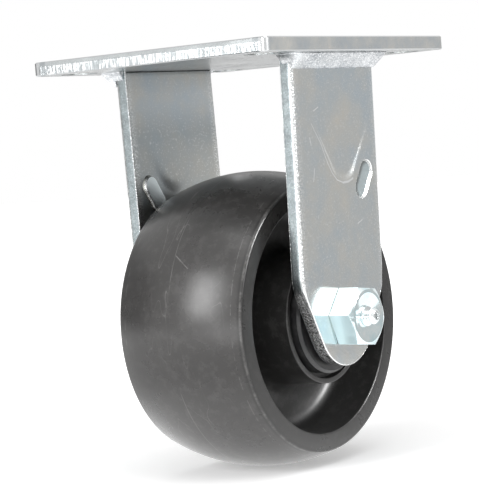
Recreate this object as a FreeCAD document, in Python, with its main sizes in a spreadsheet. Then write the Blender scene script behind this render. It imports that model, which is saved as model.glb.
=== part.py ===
import FreeCAD, Part
import math
import os
import Sketcher

# Fixed castor: a top plate with two welded legs, and a wheel on a greased roller bearing.
# Frame: X is the rolling direction, Y the axle, +Z up; the origin is the centre of the top face.
# The near leg stands at -Y and carries the bolt's head; the far leg carries the nut.

# Driving dimensions in millimetres and degrees
SIZES = {
    # top plate
    "plate_length": 106.0,
    "plate_width": 96.4,
    "plate_thickness": 4.76,
    "plate_corner_radius": 1.6,
    "plate_edge_break": 0.4,
    "bolt_edge_along": 11.75,
    "bolt_edge_across": 10.1,
    "bolt_slot_length": 13.5,
    "bolt_slot_width": 10.3,
    # legs
    "axle_drop": 92.4,
    "leg_width": 48.6,
    "leg_thickness": 4.76,
    "leg_running_gap": 0.7,
    "leg_toe_angle": 1.3,
    "leg_end_radius": 16.3,
    "leg_taper_rise": 11.0,
    "leg_shoulder_radius": 20.0,
    "leg_edge_round": 1.1,
    "leg_top_round": 1.1,
    # oval slug, half sheared inward out of each leg
    "slug_length": 13.8,
    "slug_width": 7.2,
    "slug_lean": 32.0,
    "slug_across": 15.0,
    "slug_above_axle": 45.3,
    "slug_depth": 1.7,
    "slug_crown": 0.5,
    # tongue-shaped dent pressed into each leg
    "dent_above_axle": 53.0,
    "dent_across": 0.9,
    "dent_end_radius": 6.1,
    "dent_half_angle": 39.0,
    "dent_rise": 15.0,
    "dent_depth": 0.8,
    "dent_wall_angle": 70.0,
    "dent_run_out": 3.0,
    "dent_bulge": 0.45,
    "bulge_half_angle": 27.0,
    # fillet welds
    "weld_reach": 5.5,
    "weld_drop": 5.0,
    # wheel
    "wheel_diameter": 101.2,
    "wheel_width": 50.6,
    "wheel_offset": 0.55,
    "rim_edge_radius": 45.6,
    "rim_wall": 6.4,
    "rim_draft": 2.4,
    "rim_edge_break": 0.6,
    "web_thickness": 15.0,
    "dish_round": 6.0,
    "hub_radius": 22.4,
    "hub_draft": 1.2,
    "hub_length": 53.7,
    "hub_lip_radius": 20.6,
    "hub_recess": 3.0,
    "hub_edge_break": 0.4,
    # bearing
    "race_bore_radius": 15.08,
    "bushing_radius": 9.525,
    "bushing_end_play": 0.02,
    "roller_count": 8,
    "roller_clearance": 0.03,
    "roller_chamfer": 0.4,
    "cage_wall": 2.6,
    "cage_end_bar": 2.4,
    "cage_end_play": 1.15,
    "cage_pocket_clearance": 0.15,
    "retainer_radius": 18.9,
    "retainer_stand": 2.2,
    "retainer_chamfer": 0.9,
    "retainer_spigot": 3.0,
    "retainer_spigot_clearance": 0.05,
    "retainer_bore_clearance": 0.3,
    # axle bolt and nut
    "bolt_diameter": 12.7,
    "bolt_hole_clearance": 0.25,
    "bolt_bore_clearance": 0.05,
    "bolt_tip_beyond_nut": 2.0,
    "bolt_tip_chamfer": 1.2,
    "head_across_flats": 18.7,
    "head_height": 8.4,
    "head_turn": -7.4,
    "head_face_radius": 8.9,
    "head_chamfer_drop": 1.0,
    "corner_cut_margin": 1.0,
    "head_dish_radius": 7.9,
    "head_dish_floor_radius": 5.6,
    "head_dish_depth": 1.0,
    "grease_way_diameter": 3.2,
    "nut_across_flats": 19.05,
    "nut_turn": 30.0,
    "nut_chamfer_drop": 1.1,
    "nut_height": 11.0,
    "nut_collar_height": 3.2,
    "nut_collar_radius": 8.6,
    "nut_seat_clearance": 0.02,
    "insert_radius": 7.9,
    "insert_thickness": 2.4,
    # grease fitting
    "fitting_stem_radius": 2.6,
    "fitting_stem_length": 5.0,
    "fitting_flange_radius": 3.4,
    "fitting_flange_height": 0.75,
    "fitting_neck_radius": 1.9,
    "fitting_head_radius": 2.75,
    "fitting_land_length": 0.85,
    "fitting_back_length": 1.2,
    "fitting_stand": 3.2,
    "fitting_bore_radius": 1.25,
    "fitting_mouth_radius": 0.8,
    "fitting_mouth_depth": 0.9,
    "fitting_crimp_length": 0.5,
    "grease_ball_radius": 1.15,
    "grease_ball_seat_gap": 0.03,
    "spring_wire_radius": 0.16,
    "spring_turns": 5,
}

doc = FreeCAD.newDocument("fixed_castor")
dim = doc.addObject("Spreadsheet::Sheet", "dim")
for row, (name, value) in enumerate(SIZES.items(), start=1):
    dim.set(f"A{row}", name)
    dim.set(f"B{row}", str(value))
    dim.setAlias(f"B{row}", name)
doc.recompute()

# The least volume that counts as a cut
LEAST_CUT = 1e-6

# A sketch curve's points are numbered: 1 is its start, 2 its end and 3 its centre

# Sizes worked out from the driving ones, as expressions on the sheet
PLATE_UNDER = "(-dim.plate_thickness)"
LEG_INNER = "(dim.hub_length / 2 + dim.retainer_stand + dim.wheel_offset + dim.leg_running_gap)"
LEG_TOP = (
    "(-dim.plate_thickness - (dim.leg_thickness - dim.leg_top_round) * sin(dim.leg_toe_angle * 1 deg)"
    " - dim.leg_top_round * (1 - cos(dim.leg_toe_angle * 1 deg)))"
)
SIN_TOE = "sin(dim.leg_toe_angle * 1 deg)"
COS_TOE = "cos(dim.leg_toe_angle * 1 deg)"
LEG_REACH = f"((dim.axle_drop + {LEG_TOP} + dim.leg_thickness / 2 * {SIN_TOE}) / {COS_TOE})"
LEG_INNER_REACH = f"((dim.axle_drop + {LEG_TOP} + dim.leg_thickness * {SIN_TOE}) / {COS_TOE})"
LEG_OUTER_TOP = f"({LEG_INNER} + dim.leg_thickness * {COS_TOE} + {LEG_INNER_REACH} * {SIN_TOE})"
LEG_OUTER_AT_AXLE = f"({LEG_INNER} + dim.leg_thickness / {COS_TOE})"
RIM_INNER = "(dim.rim_edge_radius - dim.rim_wall)"
CROWN_SAG = "(dim.wheel_diameter / 2 - dim.rim_edge_radius)"
CROWN_HALF = "(dim.wheel_width / 2 - dim.rim_edge_break)"
CROWN_RADIUS = f"((pow({CROWN_HALF}; 2) + pow({CROWN_SAG}; 2)) / (2 * {CROWN_SAG}))"
ROLLER_RADIUS = "((dim.race_bore_radius - dim.bushing_radius) / 2 - dim.roller_clearance)"
ROLLER_PITCH = "((dim.race_bore_radius + dim.bushing_radius) / 2)"
HEAD_CORNER = "(dim.head_across_flats / 2 / cos(30 deg))"
NUT_CORNER = "(dim.nut_across_flats / 2 / cos(30 deg))"
HEAD_SEAT = f"({LEG_OUTER_AT_AXLE} + {HEAD_CORNER} * {SIN_TOE})"
NUT_SEAT = f"({LEG_OUTER_AT_AXLE} + {NUT_CORNER} * {SIN_TOE})"
HEAD_FRONT = f"({HEAD_SEAT} + dim.head_height)"
BOLT_TIP = f"({NUT_SEAT} + dim.nut_height + dim.bolt_tip_beyond_nut)"
RETAINER_SEAT = "(dim.hub_length / 2 - dim.hub_recess)"
CAGE_HALF = f"({RETAINER_SEAT} - dim.retainer_spigot - dim.cage_end_play)"
WINDOW_HALF = f"({CAGE_HALF} - dim.cage_end_bar)"
ROLLER_HALF = f"({WINDOW_HALF} - dim.cage_pocket_clearance)"
BUSHING_HALF = (
    f"({LEG_INNER} - dim.bushing_radius * tan(dim.leg_toe_angle * 1 deg)"
    " - dim.bushing_end_play)"
)
FITTING_SEAT = f"({HEAD_FRONT} - dim.head_dish_depth)"
FITTING_TIP = f"({HEAD_FRONT} + dim.fitting_stand)"
BALL_PLACE = (
    f"({FITTING_TIP} - dim.fitting_mouth_depth"
    " - sqrt(pow(dim.grease_ball_radius; 2) - pow(dim.fitting_mouth_radius; 2)) - dim.grease_ball_seat_gap)"
)


def value(expression):
    """The plain number that an expression on the sheet gives now."""
    result = dim.evalExpression(expression.replace("dim.", ""))
    return float(getattr(result, "Value", result))


def place(thing, across="0", along="0", up="0", turn="0", pitch="0", roll="0"):
    """Bind the place of an object to expressions: offsets in X, Y, Z, then turns about Z, Y, X."""
    thing.setExpression(
        "Placement",
        f"create(<<placement>>; create(<<vector>>; {across}; {along}; {up});"
        f" create(<<rotation>>; {turn}; {pitch}; {roll}))",
    )


def new_body(label, **where):
    """A new body whose label names the finished piece."""
    body = doc.addObject("PartDesign::Body", label)
    body.Label = label
    place(body, **where)
    return body


def new_sketch(body, name, plane, offset="0", turn="0"):
    """A sketch on one of the body's origin planes, moved along that plane's normal by offset."""
    sketch = body.newObject("Sketcher::SketchObject", name)
    base = [part for part in body.Origin.OriginFeatures if part.Role == plane][0]
    sketch.AttachmentSupport = (base, "")
    sketch.MapMode = "FlatFace"
    sketch.setExpression("AttachmentOffset.Base.z", offset)
    if turn != "0":
        sketch.setExpression("AttachmentOffset.Rotation.Angle", f"({turn}) * 1 deg")
    return sketch


def pin(sketch, curve, end, across, up):
    """Hold one point of a curve at two expressions."""
    for kind, expression in (("DistanceX", across), ("DistanceY", up)):
        index = sketch.addConstraint(Sketcher.Constraint(kind, curve, end, value(expression)))
        sketch.setExpression(f"Constraints[{index}]", expression)


def bind_radius(sketch, curve, expression):
    """Hold the radius of an arc or circle at an expression."""
    index = sketch.addConstraint(Sketcher.Constraint("Radius", curve, value(expression)))
    sketch.setExpression(f"Constraints[{index}]", expression)


def draw_circle(sketch, across, up, radius):
    """A circle with its centre and radius held."""
    centre = FreeCAD.Vector(value(across), value(up), 0)
    curve = sketch.addGeometry(Part.Circle(centre, FreeCAD.Vector(0, 0, 1), value(radius)))
    pin(sketch, curve, 3, across, up)
    bind_radius(sketch, curve, radius)


def draw_outline(sketch, points, bulges=()):
    """A closed outline through held points; bulges gives the radius of the side after a point,
    positive where its arc's centre lies to the left of the side."""
    spots = [FreeCAD.Vector(value(x), value(y), 0) for x, y in points]
    arcs = dict(bulges)
    first = sketch.GeometryCount
    for index, start in enumerate(spots):
        stop = spots[(index + 1) % len(spots)]
        if index in arcs:
            side, radius = arcs[index]
            sketch.addGeometry(arc_between(start, stop, value(radius), side))
        else:
            sketch.addGeometry(Part.LineSegment(start, stop))
    count = len(spots)
    for index in range(count):
        curve = first + index
        follower = first + (index + 1) % count
        turned = index in arcs and arcs[index][0] < 0
        next_turned = (index + 1) % count in arcs and arcs[(index + 1) % count][0] < 0
        far_end = 1 if turned else 2
        next_start = 2 if next_turned else 1
        sketch.addConstraint(Sketcher.Constraint("Coincident", curve, far_end, follower, next_start))
        pin(sketch, curve, 2 if turned else 1, *points[index])
        if index in arcs:
            bind_radius(sketch, curve, arcs[index][1])


def arc_between(start, stop, radius, side):
    """The short arc from start to stop with its centre to the left (side 1) or right (side -1)."""
    chord = stop - start
    left = FreeCAD.Vector(-chord.y, chord.x, 0).normalize()
    rise = math.sqrt(radius ** 2 - (chord.Length / 2) ** 2)
    centre = start + chord * 0.5 + left * (rise * side)
    middle = centre - left * (radius * side)
    return Part.Arc(start, middle, stop)


def draw_obround(sketch, across, up, length, width, lean):
    """A straight slot with round ends, leaning from the upright, held by its two end centres."""
    half = f"(({length}) - ({width})) / 2"
    step_x = f"{half} * sin(({lean}) * 1 deg)"
    step_y = f"{half} * cos(({lean}) * 1 deg)"
    top = (f"{across} + {step_x}", f"{up} + {step_y}")
    low = (f"{across} - {step_x}", f"{up} - {step_y}")
    radius = value(width) / 2
    angle = math.pi / 2 - math.radians(value(lean))
    normal = FreeCAD.Vector(0, 0, 1)
    top_at = FreeCAD.Vector(value(top[0]), value(top[1]), 0)
    low_at = FreeCAD.Vector(value(low[0]), value(low[1]), 0)
    offset = FreeCAD.Vector(math.cos(angle - math.pi / 2), math.sin(angle - math.pi / 2), 0) * radius
    quarter = math.pi / 2
    upper = sketch.addGeometry(
        Part.ArcOfCircle(Part.Circle(top_at, normal, radius), angle - quarter, angle + quarter)
    )
    left = sketch.addGeometry(Part.LineSegment(top_at - offset, low_at - offset))
    lower = sketch.addGeometry(
        Part.ArcOfCircle(Part.Circle(low_at, normal, radius), angle + quarter, angle + 3 * quarter)
    )
    right = sketch.addGeometry(Part.LineSegment(low_at + offset, top_at + offset))
    for first, second in ((upper, left), (left, lower), (lower, right), (right, upper)):
        sketch.addConstraint(Sketcher.Constraint("Tangent", first, 2, second, 1))
    pin(sketch, upper, 3, *top)
    pin(sketch, lower, 3, *low)
    bind_radius(sketch, upper, f"({width}) / 2")


def hexagon_points(corner, turn):
    """The six corners of a hexagon, as expressions."""
    return [
        (f"{corner} * cos(({turn}) * 1 deg + {60 * k} deg)", f"{corner} * sin(({turn}) * 1 deg + {60 * k} deg)")
        for k in range(6)
    ]


def pad(body, sketch, name, length, reverse=False, midplane=False, taper=None):
    """Add material along the sketch's normal, with walls that lean by the taper where one is given."""
    feature = body.newObject("PartDesign::Pad", name)
    feature.Profile = sketch
    feature.setExpression("Length", length)
    if taper is not None:
        feature.setExpression("TaperAngle", taper)
    feature.Reversed = reverse
    feature.Midplane = midplane
    sketch.Visibility = False
    doc.recompute()
    return feature


def pocket(body, sketch, name, length=None, reverse=False, midplane=False, taper=None):
    """Remove material against the sketch's normal, right through where no length is given."""
    before = body.Shape.Volume
    feature = body.newObject("PartDesign::Pocket", name)
    feature.Profile = sketch
    if length is None:
        feature.Type = "ThroughAll"
    else:
        feature.setExpression("Length", length)
    if taper is not None:
        feature.setExpression("TaperAngle", taper)
    feature.Reversed = reverse
    feature.Midplane = midplane
    doc.recompute()
    if body.Shape.Volume >= before - LEAST_CUT:
        raise RuntimeError(f"{name} removes nothing")
    return feature


def turn(body, sketch, name, axis="V_Axis", cut=False):
    """Turn a profile about one of its sketch's axes, to add or to remove material."""
    before = body.Shape.Volume if cut else 0.0
    kind = "PartDesign::Groove" if cut else "PartDesign::Revolution"
    feature = body.newObject(kind, name)
    feature.Profile = sketch
    feature.ReferenceAxis = (sketch, [axis])
    feature.Angle = 360.0
    doc.recompute()
    if cut and body.Shape.Volume >= before - LEAST_CUT:
        raise RuntimeError(f"{name} removes nothing")
    return feature


def edges_where(body, test):
    """The names of the edges of the body whose middle point and curve pass the test."""
    names = []
    for index, edge in enumerate(body.Tip.Shape.Edges, start=1):
        low, high = edge.ParameterRange
        if test(edge.valueAt((low + high) / 2), edge):
            names.append(f"Edge{index}")
    if not names:
        raise RuntimeError(f"{body.Label}: no edge found")
    return names


def round_edges(body, name, test, radius):
    """Round the edges that pass the test."""
    names = edges_where(body, test)
    base = body.Tip
    feature = body.newObject("PartDesign::Fillet", name)
    feature.Base = (base, names)
    feature.setExpression("Radius", radius)
    doc.recompute()
    return feature


def chamfer_edges(body, name, test, size):
    """Chamfer the edges that pass the test."""
    names = edges_where(body, test)
    base = body.Tip
    feature = body.newObject("PartDesign::Chamfer", name)
    feature.Base = (base, names)
    feature.setExpression("Size", size)
    doc.recompute()
    return feature


def near(first, second, slack=1e-4):
    """Whether two sizes are the same."""
    return abs(first - second) < slack


# Top plate: sheared flat bar with four slotted bolt holes
plate = new_body("top_plate")
half_length = "dim.plate_length / 2"
half_width = "dim.plate_width / 2"
outline = new_sketch(plate, "plate_outline", "XY_Plane")
draw_outline(outline, [
    (f"-{half_length}", f"-{half_width}"),
    (half_length, f"-{half_width}"),
    (half_length, half_width),
    (f"-{half_length}", half_width),
])
pad(plate, outline, "plate_slab", "dim.plate_thickness", reverse=True)
middle_height = -value("dim.plate_thickness") / 2
round_edges(
    plate, "plate_corners",
    lambda spot, edge: near(spot.z, middle_height),
    "dim.plate_corner_radius",
)
chamfer_edges(
    plate, "plate_rims",
    lambda spot, edge: near(spot.z, 0) or near(spot.z, 2 * middle_height),
    "dim.plate_edge_break",
)
slots = new_sketch(plate, "bolt_slots", "XY_Plane")
for side_x in ("-", ""):
    for side_y in ("-", ""):
        draw_obround(
            slots,
            f"{side_x}({half_length} - dim.bolt_edge_along)",
            f"{side_y}({half_width} - dim.bolt_edge_across)",
            "dim.bolt_slot_length", "dim.bolt_slot_width", "90",
        )
pocket(plate, slots, "bolt_slot_cuts")


def dent_sketch(body, name, reach, sink, depth, spread):
    """The dent's tongue on a plane that leans from the face, sink below it, to depth at the round end."""
    fade = f"{reach} + dim.dent_above_axle + dim.dent_rise"
    sketch = new_sketch(body, name, "XZ_Plane", offset=f"-({sink})")
    sketch.setExpression("AttachmentOffset.Base.y", fade)
    sketch.AttachmentOffset = FreeCAD.Placement(
        FreeCAD.Vector(0, value(fade), -value(sink)), FreeCAD.Rotation(FreeCAD.Vector(1, 0, 0), 1)
    )
    sketch.setExpression("AttachmentOffset.Rotation.Angle", f"atan({depth} / dim.dent_rise)")
    touch_x = f"dim.dent_end_radius * cos({spread} * 1 deg)"
    touch_y = f"(-dim.dent_rise - dim.dent_end_radius * sin({spread} * 1 deg))"
    wide_x = f"({touch_x} + (dim.dent_run_out - {touch_y}) * tan({spread} * 1 deg))"
    draw_outline(
        sketch,
        [
            (f"dim.dent_across + {wide_x}", "dim.dent_run_out"),
            (f"dim.dent_across - {wide_x}", "dim.dent_run_out"),
            (f"dim.dent_across - {touch_x}", touch_y),
            (f"dim.dent_across + {touch_x}", touch_y),
        ],
        bulges=[(2, (1, "dim.dent_end_radius"))],
    )
    return sketch


def press_dent(body, label, reach):
    """Press the dent into the outer face and raise its lower bulge on the inner face."""
    hollow = dent_sketch(body, label + "_dent_floor", reach, "0", "dim.dent_depth", "dim.dent_half_angle")
    pocket(
        body, hollow, label + "_dent", "2 * dim.dent_depth",
        reverse=True, taper="dim.dent_wall_angle * 1 deg",
    )
    bulge = dent_sketch(
        body, label + "_bulge_top", reach, "dim.leg_thickness", "dim.dent_bulge", "dim.bulge_half_angle",
    )
    pad(body, bulge, label + "_bulge", "2 * dim.dent_bulge", taper="dim.dent_wall_angle * 1 deg")


def make_leg(label, heading, side):
    """A stamped leg: round-ended flat, drilled for the axle, with an oval slug and a dent."""
    body = new_body(label, along=f"{side}{LEG_OUTER_TOP}", up=LEG_TOP, turn=heading, roll="dim.leg_toe_angle")
    half = "dim.leg_width / 2"
    shoulder = f"-({LEG_REACH} - dim.leg_taper_rise)"
    reach = f"-{LEG_REACH}"
    spread = "sqrt(pow(dim.leg_width / 2; 2) + pow(dim.leg_taper_rise; 2))"
    slope = f"(atan(dim.leg_taper_rise / (dim.leg_width / 2)) - acos(dim.leg_end_radius / {spread}))"
    touch_x = f"dim.leg_end_radius * cos({slope})"
    touch_y = f"{reach} + dim.leg_end_radius * sin({slope})"
    blank = new_sketch(body, label + "_outline", "XZ_Plane")
    draw_outline(
        blank,
        [
            (half, "0"),
            (f"-{half}", "0"),
            (f"-{half}", shoulder),
            (f"-{touch_x}", touch_y),
            (touch_x, touch_y),
            (half, shoulder),
        ],
        bulges=[(3, (1, "dim.leg_end_radius"))],
    )
    pad(body, blank, label + "_flat", "dim.leg_thickness", reverse=True)
    thickness = value("dim.leg_thickness")
    shoulder_at = value(shoulder)
    round_edges(
        body, label + "_shoulders",
        lambda spot, edge: near(spot.z, shoulder_at) and near(spot.y, thickness / 2),
        "dim.leg_shoulder_radius",
    )
    round_edges(
        body, label + "_top",
        lambda spot, edge: near(spot.z, 0) and near(spot.y, thickness),
        "dim.leg_top_round",
    )
    round_edges(
        body, label + "_rolled_rim",
        lambda spot, edge: near(spot.y, 0) and not near(spot.z, 0),
        "dim.leg_edge_round",
    )
    hole = new_sketch(body, label + "_axle_hole", "XZ_Plane")
    draw_circle(hole, "0", reach, "dim.bolt_diameter / 2 + dim.bolt_hole_clearance")
    pocket(body, hole, label + "_axle_bore", midplane=True)
    slug_up = f"{reach} + dim.slug_above_axle"
    slug_size = ("dim.slug_across", slug_up, "dim.slug_length", "dim.slug_width", "dim.slug_lean")
    sunk = new_sketch(body, label + "_slug_outer", "XZ_Plane")
    draw_obround(sunk, *slug_size)
    pocket(body, sunk, label + "_slug_hollow", "dim.slug_depth")
    raised = new_sketch(body, label + "_slug_inner", "XZ_Plane", offset="-dim.leg_thickness")
    draw_obround(raised, *slug_size)
    pad(body, raised, label + "_slug_head", "dim.slug_depth", reverse=True)
    press_dent(body, label, reach)
    head_at = thickness + value("dim.slug_depth")
    round_edges(
        body, label + "_slug_crown",
        lambda spot, edge: near(spot.y, head_at),
        "dim.slug_crown",
    )
    return body


leg_near = make_leg("leg_near", "0", "-")
leg_far = make_leg("leg_far", "180", "")


def make_weld(label, heading, side, leg):
    """A fillet weld along the leg's outer face that wraps round both of its edges."""
    half = "dim.leg_width / 2"
    root = "dim.leg_edge_round"
    pieces = []

    def add(kind, name, where, **sizes):
        piece = doc.addObject(kind, f"{label}_{name}")
        for size, expression in sizes.items():
            piece.setExpression(size, expression)
        place(piece, **where)
        pieces.append(piece)

    def add_run(name, width, where):
        add(
            "Part::Wedge", name, where,
            Xmin="0", Xmax=width, X2min="0", X2max=width,
            Ymin=f"-{root}", Ymax="dim.weld_reach",
            Zmin="-dim.weld_drop", Zmax="0", Z2min="0", Z2max="0",
        )

    def add_turn(name, where):
        where["up"] = "-dim.weld_drop"
        add(
            "Part::Cone", name, where,
            Radius1="0", Radius2="dim.weld_reach", Height="dim.weld_drop", Angle="90 deg",
        )

    wrap = "(dim.leg_thickness - dim.leg_top_round)"
    add_run("face_run", "dim.leg_width", {"across": f"-{half}"})
    add_run("right_run", wrap, {"across": half, "turn": "-90"})
    add_run("left_run", wrap, {"across": f"-{half}", "along": f"-{wrap}", "turn": "90"})
    add_turn("right_front_turn", {"across": half})
    add_turn("left_front_turn", {"across": f"-{half}", "turn": "90"})
    add_turn("right_back_turn", {"across": half, "along": f"-{wrap}", "turn": "-90"})
    add_turn("left_back_turn", {"across": f"-{half}", "along": f"-{wrap}", "turn": "180"})
    bead = doc.addObject("Part::MultiFuse", label + "_bead")
    bead.Shapes = pieces
    bead.Refine = True
    place(bead, along=f"{side}{LEG_OUTER_TOP}", up=PLATE_UNDER, turn=heading)
    weld = doc.addObject("Part::Cut", label)
    weld.Label = label
    weld.Base = bead
    weld.Tool = leg
    doc.recompute()
    return weld


weld_near = make_weld("weld_near", "180", "-", leg_near)
weld_far = make_weld("weld_far", "0", "", leg_far)


def mirrored(points):
    """A half profile (radius, along) and its mirror image, as one closed outline."""
    return points + [(radius, f"-({along})") for radius, along in reversed(points)]


# Wheel: one moulding with a crowned tread, a deep dish on each side, and a long hub
wheel = new_body("wheel", along="dim.wheel_offset", up="-dim.axle_drop")
tread_radius = "dim.wheel_diameter / 2"
rim_side = "dim.wheel_width / 2"
web_side = "dim.web_thickness / 2"
hub_end = "dim.hub_length / 2"
hub_break = f"({hub_end} - dim.hub_edge_break)"
dish_outer = f"{RIM_INNER} - ({CROWN_HALF} - {web_side}) * tan(dim.rim_draft * 1 deg)"
dish_inner = f"dim.hub_radius + ({hub_break} - {web_side}) * tan(dim.hub_draft * 1 deg)"
section = new_sketch(wheel, "wheel_section", "XY_Plane")
half_section = [
    ("dim.race_bore_radius", RETAINER_SEAT),
    ("dim.hub_lip_radius", RETAINER_SEAT),
    ("dim.hub_lip_radius", hub_end),
    ("dim.hub_radius - dim.hub_edge_break", hub_end),
    ("dim.hub_radius", hub_break),
    (dish_inner, web_side),
    (dish_outer, web_side),
    (RIM_INNER, CROWN_HALF),
    (f"{RIM_INNER} + dim.rim_edge_break", rim_side),
    ("dim.rim_edge_radius - dim.rim_edge_break", rim_side),
    ("dim.rim_edge_radius", CROWN_HALF),
]
crown_side = len(half_section) - 1
draw_outline(section, mirrored(half_section), bulges=[(crown_side, (-1, CROWN_RADIUS))])
turn(wheel, section, "wheel_moulding")
web_at = value(web_side)
round_edges(
    wheel, "dish_rounds",
    lambda spot, edge: near(abs(spot.y), web_at),
    "dim.dish_round",
)


def make_retainer(label, heading):
    """A bearing retainer: a washer seated in the hub's end, with a spigot in the bore."""
    body = new_body(label, along="dim.wheel_offset", up="-dim.axle_drop", turn=heading)
    profile = new_sketch(body, label + "_section", "XY_Plane")
    face = f"({hub_end} + dim.retainer_stand)"
    bore = "dim.bushing_radius + dim.retainer_bore_clearance"
    spigot = "dim.race_bore_radius - dim.retainer_spigot_clearance"
    draw_outline(profile, [
        (bore, f"{RETAINER_SEAT} - dim.retainer_spigot"),
        (spigot, f"{RETAINER_SEAT} - dim.retainer_spigot"),
        (spigot, RETAINER_SEAT),
        ("dim.retainer_radius", RETAINER_SEAT),
        ("dim.retainer_radius", f"{face} - dim.retainer_chamfer"),
        ("dim.retainer_radius - dim.retainer_chamfer", face),
        (bore, face),
    ])
    turn(body, profile, label + "_washer")
    return body


retainer_near = make_retainer("retainer_near", "180")
retainer_far = make_retainer("retainer_far", "0")

# Spanner bushing: the steel tube that the legs clamp and the rollers run on
bushing = new_body("spanner_bushing", up="-dim.axle_drop")
bushing_section = new_sketch(bushing, "bushing_section", "XY_Plane")
bolt_bore = "dim.bolt_diameter / 2 + dim.bolt_bore_clearance"
draw_outline(bushing_section, mirrored([(bolt_bore, BUSHING_HALF), ("dim.bushing_radius", BUSHING_HALF)]))
turn(bushing, bushing_section, "bushing_tube")
bushing_hole = new_sketch(bushing, "bushing_grease_hole", "XY_Plane")
draw_circle(bushing_hole, "0", "0", "dim.grease_way_diameter / 2")
pocket(bushing, bushing_hole, "bushing_grease_way", midplane=True)

# Roller cage: a tube with a window for each roller
cage = new_body("bearing_cage", along="dim.wheel_offset", up="-dim.axle_drop")
cage_section = new_sketch(cage, "cage_section", "XY_Plane")
draw_outline(cage_section, mirrored([
    (f"{ROLLER_PITCH} - dim.cage_wall / 2", CAGE_HALF),
    (f"{ROLLER_PITCH} + dim.cage_wall / 2", CAGE_HALF),
]))
turn(cage, cage_section, "cage_tube")
window = new_sketch(cage, "cage_window", "XY_Plane")
window_side = f"({ROLLER_RADIUS} + dim.cage_pocket_clearance)"
draw_outline(window, [
    (f"-{window_side}", f"-{WINDOW_HALF}"),
    (window_side, f"-{WINDOW_HALF}"),
    (window_side, WINDOW_HALF),
    (f"-{window_side}", WINDOW_HALF),
])
window_cut = pocket(cage, window, "cage_window_cut", f"{ROLLER_PITCH} + dim.cage_wall", reverse=True)
windows = cage.newObject("PartDesign::PolarPattern", "cage_windows")
windows.Originals = [window_cut]
cage_axis = [part for part in cage.Origin.OriginFeatures if part.Role == "Y_Axis"][0]
windows.Axis = (cage_axis, [""])
windows.Angle = 360
windows.setExpression("Occurrences", "dim.roller_count")
cage.Tip = windows
doc.recompute()

# Rollers, spaced evenly round the cage from the top
rollers = []
roller_end = value(ROLLER_HALF)
for index in range(int(value("dim.roller_count"))):
    label = f"roller_{index + 1}"
    angle = f"({index} * 360 deg / dim.roller_count)"
    roller = new_body(
        label,
        across=f"{ROLLER_PITCH} * sin{angle}",
        along="dim.wheel_offset",
        up=f"-dim.axle_drop + {ROLLER_PITCH} * cos{angle}",
    )
    roller_section = new_sketch(roller, label + "_section", "XZ_Plane")
    draw_circle(roller_section, "0", "0", ROLLER_RADIUS)
    pad(roller, roller_section, label + "_rod", f"2 * {ROLLER_HALF}", midplane=True)
    chamfer_edges(
        roller, label + "_ends",
        lambda spot, edge: near(abs(spot.y), roller_end),
        "dim.roller_chamfer",
    )
    rollers.append(roller)


def cut_corners(body, name, corner, face_radius, face, drop):
    """Chamfer a hexagon's corners by a cone from the face's radius; drop is signed along Y."""
    rim = f"({corner} + dim.corner_cut_margin)"
    sketch = new_sketch(body, name + "_section", "XY_Plane")
    draw_outline(sketch, [
        (face_radius, face),
        (rim, face),
        (rim, f"{face} + {drop} * ({rim} - {face_radius}) / ({corner} - {face_radius})"),
    ])
    turn(body, sketch, name + "_chamfer", cut=True)


# Axle bolt: hexagon head with a dished face, plain shank, and a drilled grease way
bolt = new_body("axle_bolt", up="-dim.axle_drop")
head = new_sketch(bolt, "head_hexagon", "XZ_Plane", offset=HEAD_SEAT)
draw_outline(head, hexagon_points(HEAD_CORNER, "dim.head_turn"))
pad(bolt, head, "bolt_head", "dim.head_height")
shank = new_sketch(bolt, "shank_circle", "XZ_Plane", offset=HEAD_SEAT)
draw_circle(shank, "0", "0", "dim.bolt_diameter / 2")
pad(bolt, shank, "bolt_shank", f"{HEAD_SEAT} + {BOLT_TIP}", reverse=True)
tip_at = value(BOLT_TIP)
chamfer_edges(bolt, "bolt_tip", lambda spot, edge: near(spot.y, tip_at), "dim.bolt_tip_chamfer")
front = f"-{HEAD_FRONT}"
cut_corners(bolt, "head_corner", HEAD_CORNER, "dim.head_face_radius", front, "dim.head_chamfer_drop")
dish = new_sketch(bolt, "head_dish_section", "XY_Plane")
draw_outline(dish, [
    ("0", front),
    ("dim.head_dish_radius", front),
    ("dim.head_dish_floor_radius", f"{front} + dim.head_dish_depth"),
    ("0", f"{front} + dim.head_dish_depth"),
])
turn(bolt, dish, "head_dish", cut=True)
way = new_sketch(bolt, "bolt_grease_section", "XZ_Plane", offset=HEAD_FRONT)
draw_circle(way, "0", "0", "dim.grease_way_diameter / 2")
pocket(bolt, way, "bolt_grease_way", f"{HEAD_FRONT} + dim.grease_way_diameter / 2")
stem_hole = new_sketch(bolt, "bolt_stem_section", "XZ_Plane", offset=FITTING_SEAT)
draw_circle(stem_hole, "0", "0", "dim.fitting_stem_radius")
pocket(bolt, stem_hole, "bolt_stem_hole", "dim.fitting_stem_length")
outlet = new_sketch(bolt, "bolt_outlet_section", "XY_Plane")
draw_circle(outlet, "0", "0", "dim.grease_way_diameter / 2")
pocket(bolt, outlet, "bolt_grease_outlet", midplane=True)

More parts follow.
